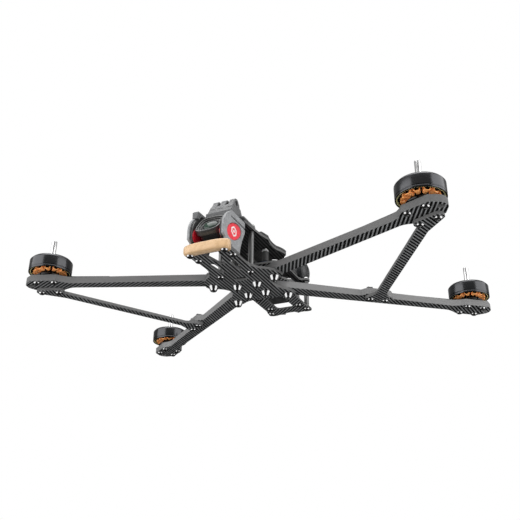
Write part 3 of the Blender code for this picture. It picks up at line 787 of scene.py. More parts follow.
def screw_shape(profile, flat, depth):
    """A screw from its shank's end to its head's top, as (radius, height) points, with a hexagon socket."""
    loops = [[(x, y, height) for x, y in circle((0, 0), radius)] for radius, height in profile]
    top = profile[-1][1]
    inward = depth if profile[0][1] > top else -depth
    for reach, height in ((flat * 1.12, top), (flat, top + inward * 0.12), (flat, top + inward)):
        loops.append([(x, y, height) for x, y in hexagon(reach)])
    return loft(loops)


def button_head(shank, facing):
    """An M3 button head on the plane z = 0 that faces down (-1) or up (1), with its shank."""
    rise = (
        (1.5, 0), (3.1, 0), (3.15, 0.3), (3.05, 0.75), (2.8, 1.25), (2.4, 1.65), (1.95, 1.92), (1.5, 2.06),
        (1.3, 2.1),
    )
    profile = [(1.35, -facing * shank), (1.5, -facing * (shank - 0.4))]
    profile += [(radius, facing * height) for radius, height in rise]
    return baked("button_head", screw_shape(profile, 1.0, 1.0), STEEL)


def nut(name, across, low, high, bore, paint):
    return baked(name, prism(hexagon(across / 2, 24), [circle((0, 0), bore)], low, high, 0.3), paint)


def clamp_bolt_mesh():
    profile = [(2.1, MID_TOP + 2.2), (2.5, MID_TOP + 1.8), (2.5, 0), (4.7, 0), (4.75, -0.3), (4.65, -0.8)]
    profile += [(4.3, -1.7), (3.9, -2.6), (3.5, -3.5), (3.1, -4.3), (2.8, -4.8)]
    profile += [(2.5, BOLT_TIP), (1.95, BOLT_TIP)]
    return baked("tapered_head", screw_shape(profile, 1.5, 2.2), STEEL)


CLAMPS = ("front_inner", "front_outer", "rear_inner", "rear_outer")


def clamp_bolts():
    """(side, ahead) of the four M5 bolts on the left, in the order of CLAMPS."""
    places = []
    for inner, motor in ((FRONT_BOLT, FRONT_MOTOR), (REAR_BOLT, REAR_MOTOR)):
        along = (Vector(motor) - Vector(inner)).normalized()
        places.append(inner)
        places.append(tuple(Vector(inner) + along * BOLT_SPACING))
    return places


def fasteners():
    bolt = clamp_bolt_mesh()
    lock_nut = nut("lock_nut", 8.0, MID_TOP + 0.05, MID_TOP + 2.5, 2.35, STEEL)
    for which, (side, ahead) in zip(CLAMPS, clamp_bolts()):
        for hand, word in HANDS:
            where = f"{which}_{word}"
            place = (side * hand, -ahead, 0)
            piece("bolt_" + where, bolt, "frame", ("clamp_bolt_" + where,), "black_steel", place)
            piece("lock_nut_" + where, lock_nut, "frame", slot="black_steel", place=place)
    from_below = button_head(6.0, -1)
    from_above = button_head(4.0, 1)
    middle = square(BAY_CENTRE) + [REAR_STANDOFF, (STACK_HALF, STACK_CENTRE - STACK_HALF)]
    rows = [("cage", from_below, CAGE_SCREW, BELLY_Z), ("front_post", from_below, FRONT_STANDOFF, BELLY_Z)]
    rows += [(f"middle_{i}", from_below, place, MID_Z) for i, place in enumerate(middle)]
    rows.append(("deck_front", from_above, FRONT_STANDOFF, PAD_TOP - 0.1))
    rows.append(("deck_rear", from_above, REAR_STANDOFF, DECK_TOP))
    rows.append(("bumper", button_head(5.0, -1), BUMPER_SCREW, BUMPER_Z + 0.1))
    for kind, screw, (side, ahead), level in rows:
        for hand, word in HANDS:
            piece(f"screw_{kind}_{word}", screw, "frame", place=(side * hand, -ahead, level))


# ---------------------------------------------------------------- plates, arms and braces

def belly_outline():
    half = bend((7.5, 90.8), (14.5, 90), (19, 83.2), 8)
    half += [(20, 80.5), (20, 68.5), (18.6, 67), (18.4, 56)]
    half += bend((18.4, 56), (18.8, 47), (23.5, 40), 8)[1:]
    half += bend((23.5, 40), (37.2, 30.5), (37.5, 19.7), 14)[1:]
    half += arc((30, 19.7), 7.5, 0, -60, 10)[1:]
    half += bend((33.75, 13.2), (22.5, 9.5), (21.2, 1.5), 10)[1:]
    half += [(22.2, -4.2)]
    half += arc((25.4, -23.5), 7.3, 35, -110, 20)
    half += bend((22.9, -30.4), (17, -25.9), (12, -25.9), 8)[1:]
    return both_sides(half)


def belly():
    holes = mirrored_holes(clamp_bolts(), M5_HOLE)
    holes += mirrored_holes((CAGE_SCREW, FRONT_STANDOFF), M3_HOLE)
    holes.append(rounded([(7.6, 84), (2.3, 59.5), (-2.3, 59.5), (-7.6, 84)], 1.6))
    for hand in (LEFT, RIGHT):
        holes.append(slot_outline((hand * 9.8, 60), (hand * 8.2, 45.5), 2.6))
    holes.append(ellipse((0, 24.4), (6.2, 3.4), 0))
    plate("belly_plate", "laminate_belly", belly_outline(), holes, BELLY_CARBON, "carbon_plate")


def middle():
    half = [(17, 28)]
    half += arc((30, 19.7), 7.2, 95, -60, 20)
    half += [(21.5, 3)]
    half += arc((25.4, -23.5), 7.0, 40, -70, 16)
    half += [(21.5, -38), (21.5, -79)]
    half += bend((21.5, -79), (21.6, -83), (22.9, -86), 8)[1:]
    half += arc((19.9, -93.6), 3, 0, -90, 10)
    half += bend((17, -97), (12, -94.5), (8, -97), 8)
    half += bend((7, -97), (5.5, -93), (3, -93), 8)
    holes = mirrored_holes(clamp_bolts(), M5_HOLE) + mirrored_holes([REAR_STANDOFF], M3_HOLE)
    for centre in (BAY_CENTRE, STACK_CENTRE):
        holes += mirrored_holes(square(centre), M3_HOLE)
    holes.append(level_slab(9, -50, -81, 4))
    plate("middle_plate", "laminate_middle", both_sides(half), holes, MID_CARBON, "carbon_plate")


def wing_outline():
    half = bend((17.9, 35.4), (18.4, 28), (21.8, 14), 10)
    half += bend((21.8, 14), (18.6, 2), (20.6, -8.5), 12)[1:]
    half += bend((20.6, -8.5), (24.6, -16), (24.4, -22.5), 10)[1:]
    half += bend((24.4, -22.5), (16, -30), (14.6, -45), 12)[1:]
    return half


def deck():
    half = [(16.9, 54.5)] + wing_outline() + [(14.6, -80)]
    half += bend((14.6, -80), (15.6, -85.2), (19.4, -85.4), 8)[1:]
    half += arc(REAR_STANDOFF, 3.6, 60, -90, 12)
    half += bend((14, -93.5), (8, -90), (2, -90), 8)
    holes = mirrored_holes((FRONT_STANDOFF, REAR_STANDOFF), M3_HOLE)
    holes += [level_slab(9.5, -3, -46, 4), level_slab(7.5, -58, -74, 4)]
    plate("deck_plate", "laminate_deck", both_sides(half), holes, SHADED_DECK_CARBON, "carbon_plate")
    pad = [(19.2, 24.0)] + [place for place in wing_outline() if place[1] < 24.0] + [(14.6, -76)]
    plate("battery_pad", "ribbed_pad", both_sides(pad), [], PAD, "grey_rubber", 0.35)


def along_arm(inner, motor, hand):
    """A function from (along, across) on an arm to (side, ahead); across is positive towards the nose."""
    start = Vector((inner[0] * hand, inner[1]))
    tip = Vector((motor[0] * hand, motor[1]))
    axis = (tip - start).normalized()
    across = Vector((-axis.y, axis.x)) * hand
    return lambda u, v: tuple(start + axis * u + across * v)


def arm_outline(length, root_half, tip_half, boss):
    seat = length - 10.2
    nose = [(length + 12.7, MOUNT_HALF)]
    nose += bend((length + 19.0, 5.4), (length + MOUNT_NOSE + 0.6, 0), (length + 19.0, -5.4), 12)
    nose += [(length + 12.7, -MOUNT_HALF)]

    def edge(sign, boss_here):
        points = [(24, root_half * sign)]
        if boss_here:
            points += bend((92, 6.9 * sign), (95, 13.1 * sign), (100.3, 13.1 * sign), 10)
            points += bend((114.8, 13.1 * sign), (120, 13.1 * sign), (124, 6.4 * sign), 10)
        points += bend((length - 24, tip_half * sign), (length - 19, tip_half * sign),
                       (seat, MOUNT_HALF * sign), 10)
        return points

    return edge(1, boss) + nose + list(reversed(edge(-1, False))) + arc((0, 0), 6.3, 260, 100, 16)


def arm(name, inner, motor, hand, root_half, tip_half, boss, weave):
    place = along_arm(inner, motor, hand)
    length = (Vector(motor) - Vector(inner)).length
    outline = [place(u, v) for u, v in arm_outline(length, root_half, tip_half, boss)]
    holes = [circle(place(u, 0), M5_HOLE) for u in (0, BOLT_SPACING)]
    for u in (-MOTOR_HOLES, MOTOR_HOLES):
        holes += [circle(place(length + u, v), M3_HOLE) for v in (-MOTOR_HOLES, MOTOR_HOLES)]
    holes.append(circle(place(length + 15.6, 0), 2.9))
    if boss:
        holes += [circle(place(u, BRACE_OFFSET), M3_HOLE) for u in BRACE_SCREWS]
    plate(name, "laminate_" + name, outline, holes, weave, "carbon_arm", 0.3)


BAR_HALF = 4.7
END_RADIUS = 4.9


def bar_end(middle, side, screw):
    """Both edges of a brace's bar at this place, the one nearer to the screw first."""
    edges = (middle + side * BAR_HALF, middle - side * BAR_HALF)
    return sorted(edges, key=lambda spot: (spot - screw).length)


def brace(hand, word, weave):
    """From two of the front motor's screws back to the boss on the rear arm."""
    front = along_arm(FRONT_BOLT, FRONT_MOTOR, hand)
    rear = along_arm(REAR_BOLT, REAR_MOTOR, hand)
    front_length = (Vector(FRONT_MOTOR) - Vector(FRONT_BOLT)).length
    heads = [Vector(front(front_length + u, -MOTOR_HOLES)) for u in (-MOTOR_HOLES, MOTOR_HOLES)]
    tails = [Vector(rear(u, BRACE_OFFSET)) for u in BRACE_SCREWS]
    start = (heads[0] + heads[1]) / 2
    end = (tails[0] + tails[1]) / 2
    axis = (end - start).normalized()
    side = Vector((axis.y, -axis.x)) * hand
    out = (heads[1] - heads[0]).normalized()
    back = (tails[1] - tails[0]).normalized()
    fore = Vector((-out.y, out.x)) * hand

    def round_end(centre, first, second, count=14):
        """Part of a disc about a screw, from one heading round to another."""
        a = math.atan2(first.y, first.x)
        b = math.atan2(second.y, second.x)
        if hand * (b - a) > 0:
            b -= hand * 2 * math.pi
        angles = [a + (b - a) * i / count for i in range(count + 1)]
        return [polar(END_RADIUS, angle, centre) for angle in angles]

    points = round_end(heads[0], (-fore - out).normalized(), fore)
    points += round_end(heads[1], fore, (-fore + out).normalized())
    near, far = bar_end(start + axis * 17, side, heads[1])
    near_end, far_end = bar_end(end - axis * 15, side, tails[1])
    rearward = Vector((-back.y, back.x)) * -hand
    points += [tuple(near), tuple(near_end)]
    points += round_end(tails[1], (back - rearward * 0.6).normalized(), rearward)
    points += round_end(tails[0], rearward, (-back - rearward * 0.6).normalized())
    points += [tuple(far_end), tuple(far)]
    holes = [circle(spot, M3_HOLE) for spot in heads + tails]
    name = "brace_" + word
    plate(name, "laminate_" + name, points, holes, weave, "carbon_arm", 0.3)


def limbs():
    motor_screw = button_head(8.0, -1)
    long_screw = button_head(11.0, -1)
    brace_screw = button_head(12.0, -1)
    brace_nut = nut("brace_nut", 5.5, ARM_TOP, ARM_TOP + 2.4, 1.45, STEEL)
    for hand, word in HANDS:
        for end, inner, motor, root, tip in (
            ("front", FRONT_BOLT, FRONT_MOTOR, 6.9, 5.1), ("rear", REAR_BOLT, REAR_MOTOR, 7.9, 5.7),
        ):
            heading = math.atan2(-(motor[1] - inner[1]), hand * (motor[0] - inner[0]))
            name = f"{end}_{word}"
            quarter = 0.0 if name == "rear_left" else math.pi / 2
            weave = carbon("woven_arm_" + name, quarter - heading, 0.12 if end == "front" else 0.18)
            arm("arm_" + name, inner, motor, hand, root, tip, end == "rear", weave)
            place = along_arm(inner, motor, hand)
            length = (Vector(motor) - Vector(inner)).length
            for i, (u, v) in enumerate(((-1, -1), (-1, 1), (1, -1), (1, 1))):
                side, ahead = place(length + MOTOR_HOLES * u, MOTOR_HOLES * v)
                under_brace = end == "front" and v < 0
                piece(f"screw_motor_{name}_{i}", long_screw if under_brace else motor_screw, "frame",
                      place=(side, -ahead, BRACE_Z if under_brace else ARM_Z))
        quarter = math.radians(-27.5 if hand == LEFT else -62.5)
        brace(hand, word, carbon("woven_brace_" + word, quarter, 0.13))
        rear = along_arm(REAR_BOLT, REAR_MOTOR, hand)
        for i, u in enumerate(BRACE_SCREWS):
            side, ahead = rear(u, BRACE_OFFSET)
            piece(f"screw_brace_{i}_{word}", brace_screw, "frame", place=(side, -ahead, BRACE_Z))
            piece(f"nut_brace_{i}_{word}", brace_nut, "frame", place=(side, -ahead, 0))


# ---------------------------------------------------------------- motors

# heights above the seat of the motor
LIP = BELL_LIP - MOTOR_FOOT
TOP = HUB_TOP - 1.2 - MOTOR_FOOT
BELL_INNER = BELL_RADIUS - 1.1
FLUX_INNER = 18.2
POLES = 14


def base_mesh():
    profile = [(3.0, 0), (11.8, 0), (12.6, 0.7), (12.6, 1.7), (11.6, 2.4), (5.4, 2.7)]
    profile += [(4.6, 3.4), (4.6, 14.6), (3.0, 14.6), (3.0, 0)]
    slots = [slot_outline(polar(8.2, math.pi / 4 * k), polar(11.2, math.pi / 4 * k), 1.5) for k in range(8)]
    tool = gather(*[prism(slot, [], -1, 3.6, 0.05) for slot in slots])
    ring = lathe(softened(profile, 0.5)[:-1], 72, closed=True)
    return carve(baked("base", ring, BASE_METAL), baked("tool", tool, BASE_METAL))


def core_mesh():
    """A stack of laminations: a hub, twelve shanks and a shoe at the end of each."""
    outline = []
    for i in range(TEETH):
        middle = 2 * math.pi * i / TEETH
        for angle, radius in (
            (-0.19, 7.4), (-0.16, 7.9), (-0.083, 15.4), (-0.195, 16.0), (-0.205, 16.4), (-0.2, 17.0),
            (-0.1, 17.0), (0, 17.0), (0.1, 17.0),
            (0.2, 17.0), (0.205, 16.4), (0.195, 16.0), (0.083, 15.4), (0.16, 7.9), (0.19, 7.4),
        ):
            outline.append(polar(radius, middle + angle))
    return baked("laminations", prism(outline, [circle((0, 0), 5.0)], 6.2, 11.8, 0.15), CORE)


def coil_mesh():
    """Round wire wound in single loops along every tooth."""
    wire = 0.5
    turns = 7
    loops = []
    for i in range(TEETH):
        turn = Matrix.Rotation(2 * math.pi * i / TEETH, 4, "Z")
        for k in range(turns):
            # the turns get wider and taller towards the tooth's end
            radius = 8.9 + 0.98 * k
            across = 1.3 + 0.15 * k
            high = 4.25 - 0.08 * (turns - 1 - k)
            flat = rounded([(across, -high), (across, high), (-across, high), (-across, -high)], 1.5, 4)
            loop = wire_loop([(radius, t, 9.0 + z) for t, z in flat], wire, 7)
            bmesh.ops.transform(loop, matrix=turn, verts=loop.verts)
            loops.append(loop)
    return baked("coils", gather(*loops), COPPER, smooth=80)


def can_mesh():
    """The bell: a wall with a thick lower lip, a chamfered shoulder and eight openings in its crown."""
    lip = BELL_RADIUS - 0.05
    groove = BELL_RADIUS - 0.3
    profile = [
        (BELL_INNER, LIP), (lip, LIP), (lip, LIP + 1.5), (groove, LIP + 1.8), (groove, LIP + 2.1),
        (BELL_RADIUS, LIP + 2.4), (BELL_RADIUS, TOP - 2.4), (BELL_RADIUS - 1.9, TOP - 0.3), (15.4, TOP),
        (5.2, TOP), (4.6, TOP + 1.2), (2.8, TOP + 1.2), (2.8, TOP - 2.2), (BELL_INNER - 2.0, TOP - 2.2),
        (BELL_INNER, TOP - 3.2),
    ]
    ring = lathe(softened(profile + [profile[0]], 0.35)[:-1], 96, closed=True)
    openings = []
    for k in range(8):
        middle = math.pi / 4 * k
        wedge = ((7.4, -0.2), (14.6, -0.27), (15.2, -0.1), (15.2, 0.1), (14.6, 0.27), (7.4, 0.2))
        outline = [polar(radius, middle + angle) for radius, angle in wedge]
        openings.append(prism(rounded(outline, 0.7, 3), [], TOP - 4, TOP + 2, 0.05))
    return carve(baked("can", ring, BELL_METAL), baked("tool", gather(*openings), BELL_METAL))


def magnets_mesh():
    """Fourteen flat magnets in the flux ring, with a thin gap between them."""
    shapes = []
    for i in range(POLES):
        middle = 2 * math.pi * i / POLES
        spread = [middle + math.radians(11.4) * k / 3 for k in range(-3, 4)]
        outline = [polar(FLUX_INNER, angle) for angle in spread]
        outline += [polar(17.35, angle) for angle in reversed(spread)]
        shapes.append(prism(outline, [], LIP + 0.5, LIP + 9.0, 0.12))
    return baked("magnets", gather(*shapes), MAGNET)


def flux_ring_mesh():
    low, high = LIP + 0.2, LIP + 9.4
    profile = [(FLUX_INNER, low), (BELL_INNER, low), (BELL_INNER, high), (FLUX_INNER, high)]
    return baked("flux_ring", lathe(profile, 72, closed=True), MAGNET)


def shaft_mesh():
    end = SHAFT_TOP - MOTOR_FOOT
    profile = [(0, 1.0), (2.2, 1.0), (2.5, 1.4), (2.5, end - 0.7), (1.8, end), (0, end)]
    return baked("ground_shaft", lathe(softened(profile, 0.15), 48), SHAFT_METAL)


def lead_sleeve_mesh():
    """The motor's three leads, side by side in a flat sleeve on the arm; its length runs along +X."""
    loops = []
    for x, half, high in ((0, 4.6, 2.4), (6, 4.6, 2.3), (15, 4.2, 2.0), (30, 4.0, 1.9), (46, 3.8, 1.8)):
        oval = []
        for k in range(28):
            angle = 2 * math.pi * k / 28
            lobe = 0.92 + 0.08 * math.cos(6 * angle)
            oval.append((x, half * math.cos(angle) * lobe, high / 2 + high / 2 * math.sin(angle) * lobe))
        loops.append(oval)
    return baked("lead_sleeve", loft(loops), RUBBER)


def motors():
    # name, mesh, whether it turns, the CAD node it stands for, slot
    kinds = (
        ("motor_foot_", base_mesh(), False, "motor_base_", "black_anodised"),
        ("windings_", coil_mesh(), False, "stator_", "copper_winding"),
        ("laminations_", core_mesh(), False, None, "black_anodised"),
        ("can_", can_mesh(), True, "rotor_bell_", "grey_anodised"),
        ("magnets_", magnets_mesh(), True, "magnet_ring_", "magnet_ring"),
        ("flux_ring_", flux_ring_mesh(), True, None, "magnet_ring"),
        ("ground_shaft_", shaft_mesh(), True, "prop_shaft_", "bright_steel"),
    )
    sleeve = lead_sleeve_mesh()
    for end, inner, (side, ahead) in (("front", FRONT_BOLT, FRONT_MOTOR), ("rear", REAR_BOLT, REAR_MOTOR)):
        for hand, word in HANDS:
            where = f"{end}_{word}"
            place = (side * hand, -ahead, MOTOR_FOOT)
            facing = math.atan2(ahead - inner[1], hand * (inner[0] - side))
            for kind, mesh, turns, node, slot in kinds:
                body = "rotor_" + where if turns else "frame"
                piece(kind + where, mesh, body, (node + where,) if node else (), slot, place)
            inward = Matrix.Translation(Vector(place) * MM) @ Matrix.Rotation(facing, 4, "Z")
            outset = Matrix.Translation((11.0 * MM, 0, (ARM_TOP - MOTOR_FOOT) * MM))
            piece("leads_" + where, sleeve, "frame", place=inward @ outset)


# ---------------------------------------------------------------- standoffs, boards and the tail pod

def standoff(where, hand, word, spot, low):
    high = DECK_Z - 0.3
    profile = [(0, low), (2.2, low), (2.5, low + 0.4)]
    for level in (low + 2.0, high - 2.6):
        profile += [(2.5, level), (2.25, level + 0.2), (2.25, level + 0.5), (2.5, level + 0.7)]
    profile += [(2.5, high - 0.4), (2.2, high), (0, high)]
    mesh = baked("turned_post", lathe(profile, 40), STANDOFF_METAL)
    piece(f"turned_post_{where}_{word}", mesh, "frame", (f"standoff_{where}_{word}",), "black_anodised",
          (spot[0] * hand, -spot[1], 0))


POST_TOP = 31.6
TIP_TOP = 35.4


def stack_post_mesh():
    profile = [(0, MID_TOP + 0.3)]
    for low, high in ((MID_TOP + 0.3, ESC_Z - 0.3), (ESC_TOP + 0.3, FC_Z - 0.3)):
        profile += [(3.2, low), (3.2, high), (1.5, high), (1.5, high + 2.2)]
    top = FC_TOP + 0.3
    profile += [(3.2, top), (3.2, POST_TOP), (0, POST_TOP)]
    return baked("soft_post", lathe(softened(profile, 0.35), 40), RUBBER)


def stack():
    outline = box_outline(0, STACK_CENTRE, 18, 18, 3)
    holes = mirrored_holes(square(STACK_CENTRE), 1.9)
    plate("esc_board", "populated_esc", outline, holes, BOARD, "circuit_board", 0.1)
    plate("flight_controller_board", "populated_controller", outline, holes, BOARD, "circuit_board", 0.1)
    chips = []
    pads = []
    for side in (-10.5, -3.5, 3.5, 10.5):
        for sign in (-1, 1):
            chips.append(block(side, STACK_CENTRE + 5.5 * sign, 2.6, 3.1, 0.2, ESC_TOP, ESC_TOP + 1.0, 0.12))
            pads.append(block(side, STACK_CENTRE + 16.2 * sign, 1.6, 1.1, 0.3, ESC_TOP, ESC_TOP + 0.25, 0.08))
    chips.append(block(0, STACK_CENTRE, 4.9, 4.9, 0.3, FC_TOP, FC_TOP + 1.1, 0.15))
    chips.append(block(-9, STACK_CENTRE - 3, 2.2, 2.2, 0.2, FC_TOP, FC_TOP + 0.9, 0.12))
    chips.append(block(9, STACK_CENTRE + 4, 2.0, 3.0, 0.2, FC_TOP, FC_TOP + 0.9, 0.12))
    for i in range(6):
        pads.append(block(-7.5 + 3 * i, STACK_CENTRE - 14.4, 0.7, 0.9, 0.2, FC_TOP, FC_TOP + 0.2, 0.06))
    plugs = [
        block(side, STACK_CENTRE + ahead, 2.4, 3.6, 0.4, FC_TOP, FC_TOP + 3.2, 0.2)
        for side, ahead in ((-11.5, 11.5), (11.5, -8))
    ]
    all_in("chips", chips, CHIP)
    all_in("solder_pads", pads, TIN)
    all_in("board_plugs", plugs, NYLON)
    post = stack_post_mesh()
    top_nut = nut("top_nut", 5.4, POST_TOP + 0.3, POST_TOP + 2.4, 1.3, ZINC)
    tip = [(0, POST_TOP - 1.6), (1.45, POST_TOP - 1.6), (1.45, TIP_TOP - 0.4), (1.1, TIP_TOP), (0, TIP_TOP)]
    tip = baked("screw_tip", lathe(tip, 32), STEEL)
    for (side, ahead), end in zip(square(STACK_CENTRE), ("front", "rear")):
        for hand, word in HANDS:
            place = (side * hand, -ahead, 0)
            where = f"{end}_{word}"
            piece("soft_post_" + where, post, "frame", ("stack_post_" + where,), "black_plastic", place)
            piece("top_nut_" + where, top_nut, "frame", place=place)
            piece("screw_tip_" + where, tip, "frame", place=place)


def transmitter():
    """A finned aluminium case: a floor with eleven fins."""
    shapes = [block(0, BAY_CENTRE, 17, 17, 3, VTX_Z, VTX_Z + 4.4, 0.3)]
    for i in range(11):
        side = -15.0 + 3.0 * i
        reach = 16.6 if abs(side) < 14 else 14.4
        shapes.append(block(side, BAY_CENTRE, 0.75, reach, 0.3, VTX_Z + 4, VTX_TOP, 0.2))
    all_in("finned_case", shapes, HEATSINK, ("video_transmitter",), "heatsink")


def tail_pod():
    ahead, up, radius = POD
    half = [(0, -17.2), (3.2, -17.2), (3.6, -17.8), (5.6, -17.8), (6.4, -17.4), (7.0, -17.4), (9.6, -16.2)]
    half += [(11.2, -14.4), (12.2, -12.4), (radius, -10.4), (radius, -4.2), (12.1, -3.4), (12.1, -2.6)]
    half.append((11.8, -2.4))
    profile = half + [(reach, -along) for reach, along in reversed(half)]
    barrel = lathe(softened(profile, 0.5), 96)
    turn = Matrix.Translation((0, -ahead * MM, up * MM)) @ Matrix.Rotation(math.radians(90), 4, "Y")
    bmesh.ops.transform(barrel, matrix=turn, verts=barrel.verts)
    saddle_outline = rounded(
        [(-77.5, DECK_TOP + 0.3), (-92.5, DECK_TOP + 0.3), (-104, 47), (-98, up), (-84, 48)], 1.2, 5,
    )
    saddle = stood_up(prism(saddle_outline, [], -9.5, 9.5, 0.6, 3))
    all_in("tail_pod", (barrel, saddle), POD_PRINT, ("rear_pod",), "black_plastic")


# ---------------------------------------------------------------- nose

# the share of the way from the middle to a lug's end at which the section starts to shrink
LUG_START = 0.93


def bow(nose, front_pull, corner, corner_pull, end):
    """A curve from the left lug's end round the nose to the right one's."""
    half = bend(nose, front_pull, corner, 14)[1:] + bend(corner, corner_pull, end, 8)[1:]
    return list(reversed(half)) + [(-side, ahead) for side, ahead in half]


def bumper():
    """A soft bow round the nose, swept from lug to lug, then fitted over the belly plate."""
    outer = bow((0, 94.3), (15.0, 95.4), (20.7, 91.0), (21.9, 88.0), (19.6, 83.6))
    inner = bow((0, 85.4), (9.0, 85.9), (13.4, 84.4), (14.4, 83.8), (15.4, 82.6))
    last = len(outer) - 1
    middle = (BUMPER_Z + BUMPER_TOP) / 2
    half = (BUMPER_TOP - BUMPER_Z) / 2
    sections = []
    for i, (front, back) in enumerate(zip(outer, inner)):
        along = abs(2 * i / last - 1)
        # towards each lug's end the section shrinks to half its size
        fill = math.sqrt(max(0.25, 1 - max(0.0, (along - LUG_START) / (1 - LUG_START)) ** 3))
        centre = (Vector(front) + Vector(back)) / 2
        reach = (Vector(front) - Vector(back)) / 2
        section = []
        for across, upward in circle((0, 0), 1, 32):
            spot = centre + reach * (math.copysign(abs(across) ** 0.5, across) * fill)
            rise = math.copysign(abs(upward) ** 0.5, upward) * fill
            section.append((spot.x, -spot.y, middle + half * rise))
        sections.append(section)
    body = baked("body", loft(sections), TAN, smooth=70)
    room = bend((7.6, 91.2), (14.8, 90.4), (19.4, 83.4), 10) + [(20.4, 80.5), (20.4, 60)]
    pocket = baked("pocket", prism(flipped(both_sides(room)), [], -0.3, 12, 0.05), TAN)
    piece("soft_bumper", carve(body, pocket), "frame", ("nose_bumper",), "tan_tpu")


def window(grown=0.0, moved=(0, 0)):
    """The cage's slanted oval window, larger by grown all round and moved by (ahead, up)."""
    centre = (WINDOW_CENTRE[0] + moved[0], WINDOW_CENTRE[1] + moved[1])
    return ellipse(centre, (WINDOW_HALF[0] + grown, WINDOW_HALF[1] + grown), WINDOW_SLANT)


def cage():
    outline = [(63.8, ARM_Z), (57.8, 19.5), (53.2, 28.6), (53.2, 32.0), (79.5, 32.0), (79.5, 33.4)]
    outline += [(53.2, 33.4), (53.2, 38.7), (78.2, 38.7)]
    outline += bend((78.2, 38.7), (93.2, 30.5), (93.0, 18), 16)[1:]
    outline += [(93.0, 11), (88.6, 9.6), (88.6, 7.0), (85.0, 7.0), (85.0, ARM_Z)]
    # inside the cage the insert spreads into a thin flange that reaches further ahead than the window
    flange_outline = window(1.6, (3.4, -1.6))
    for hand, word in HANDS:
        inner, outer = hand * PANEL_INNER, hand * CAGE_OUTER
        side = upright_mesh("side", outline, [window()], inner, outer, GREY_PRINT, 0.35)
        near, far = hand * 14, hand * 19.6
        foot = rounded([(near, 66.5), (far, 66.5), (far, 81.5), (near, 81.5)], 1.5)
        hole = circle((CAGE_SCREW[0] * hand, -CAGE_SCREW[1]), 1.5)
        whole = gather(prism(flipped(foot), [hole], ARM_Z, 5.4, 0.3))
        whole.from_mesh(side)
        whole = baked("cage", whole, GREY_PRINT, smooth=60)
        piece("printed_cage_" + word, whole, "frame", ("cage_" + word,), "grey_tpu", weighted=True)
        filled = upright_mesh("insert", window(-0.3), [], hand * 12.5, hand * 16.4, RED, 0.5)
        flange = upright_mesh("flange", flange_outline, [], hand * 12.2, hand * 12.55, RED, 0.1)
        whole = gather()
        whole.from_mesh(filled)
        whole.from_mesh(flange)
        whole = baked("insert", whole, RED, smooth=60)
        piece("red_insert_" + word, whole, "frame", ("window_insert_" + word,), "red_insert", weighted=True)
        badge(hand, word)
        cheek(hand, word)


def badge(hand, word):
    """Raised pale marks on the red insert: a plain hexagon ring with a dot in it."""
    outer = [(5.4 * x, 4.9 * y) for x, y in circle((0, 0), 1, 6)]
    bore = [(x * 0.68, y * 0.68) for x, y in outer]
    turn = Matrix.Rotation(WINDOW_SLANT, 2)

    def placed(loop):
        return [tuple(Vector(WINDOW_CENTRE) + turn @ Vector(spot)) for spot in loop]

    low, high = sorted((hand * 16.2, hand * 16.6))
    ring = prism(placed(rounded(outer, 0.5, 3)), [placed(rounded(bore, 0.3, 3))], low, high, 0.1)
    whole = stood_up(gather(ring, prism(placed(circle((0, 0), 1.3)), [], low, high, 0.1)))
    piece("insert_marks_" + word, baked("marks", whole, PALE), "frame")


def cheek(hand, word):
    """A black plate lining the inside of the cage, with the same window, like a cam plate; its black is
    painted shade for the inside of the cage.
    """
    outline = [(62.0, 8.6), (57.6, 19.5), (54.0, 28.6), (54.0, 38.3), (77.0, 38.3)]
    outline += bend((77.0, 38.3), (91.6, 30.0), (91.6, 18), 12)[1:]
    outline += [(91.6, 11.2), (87.6, 8.6)]
    inner, outer = hand * (CAGE_INNER - 0.2), hand * (PANEL_INNER - 0.1)
    lining = upright_mesh("lining", outline, [window(-0.2)], inner, outer, BLACK, 0.15)
    # painted shade: the black lining darkens the inside of the cage
    piece("lining_painted_shade_" + word, lining, "frame")


def cap():
    """The cap over the camera, with a tongue back over the deck and three knuckles for an action camera."""
    roof = rounded([(11.8, 54.9), (11.8, 72.5), (-11.8, 72.5), (-11.8, 54.9)], 1.0)
    tongue = rounded([(17.4, 31.5), (17.4, 57), (-17.4, 57), (-17.4, 31.5)], 1.6)
    holes = mirrored_holes([(FRONT_STANDOFF[0], -FRONT_STANDOFF[1])], 1.5)
    shapes = [prism(flipped(roof), [], 39.2, PAD_TOP, 0.6, 3)]
    shapes.append(prism(flipped(tongue), holes, PAD_Z, PAD_TOP - 0.1, 0.4))
    hump = rounded([(44, 43.5), (48, 50), (51, 54.5), (65, 54.5), (71.5, 43.5)], 1.5, 4)
    shapes.append(stood_up(prism(hump, [], -11.3, 11.3, 1.2, 4)))
    lobe = [(50, 50), (52.6, 59)] + arc(LOBE_HOLE, 4.6, 165, 10, 18) + [(68, 50)]
    for side in (-8.1, 0, 8.1):
        shapes.append(stood_up(prism(lobe, [circle(LOBE_HOLE, 2.3)], side - 2.6, side + 2.6, 0.5, 3)))
    whole = baked("cap", gather(*shapes), CAP_PRINT, smooth=60)
    piece("printed_cap", whole, "frame", ("top_mount",), "grey_tpu", weighted=True)


def ear():
    """A dark ear on the cage's right top front corner; the left side has none."""
    outline = [(70.0, 38.2), (70.0, 41.6), (84.0, 41.2), (85.6, 39.8), (85.6, 34.2), (82.4, 33.6)]
    outline.append((79.0, 38.2))
    mesh = upright_mesh("ear", outline, [], -11.9, -17.2, CAP_PRINT, 0.5)
    piece("cage_ear_right", mesh, "frame", slot="grey_tpu", weighted=True)


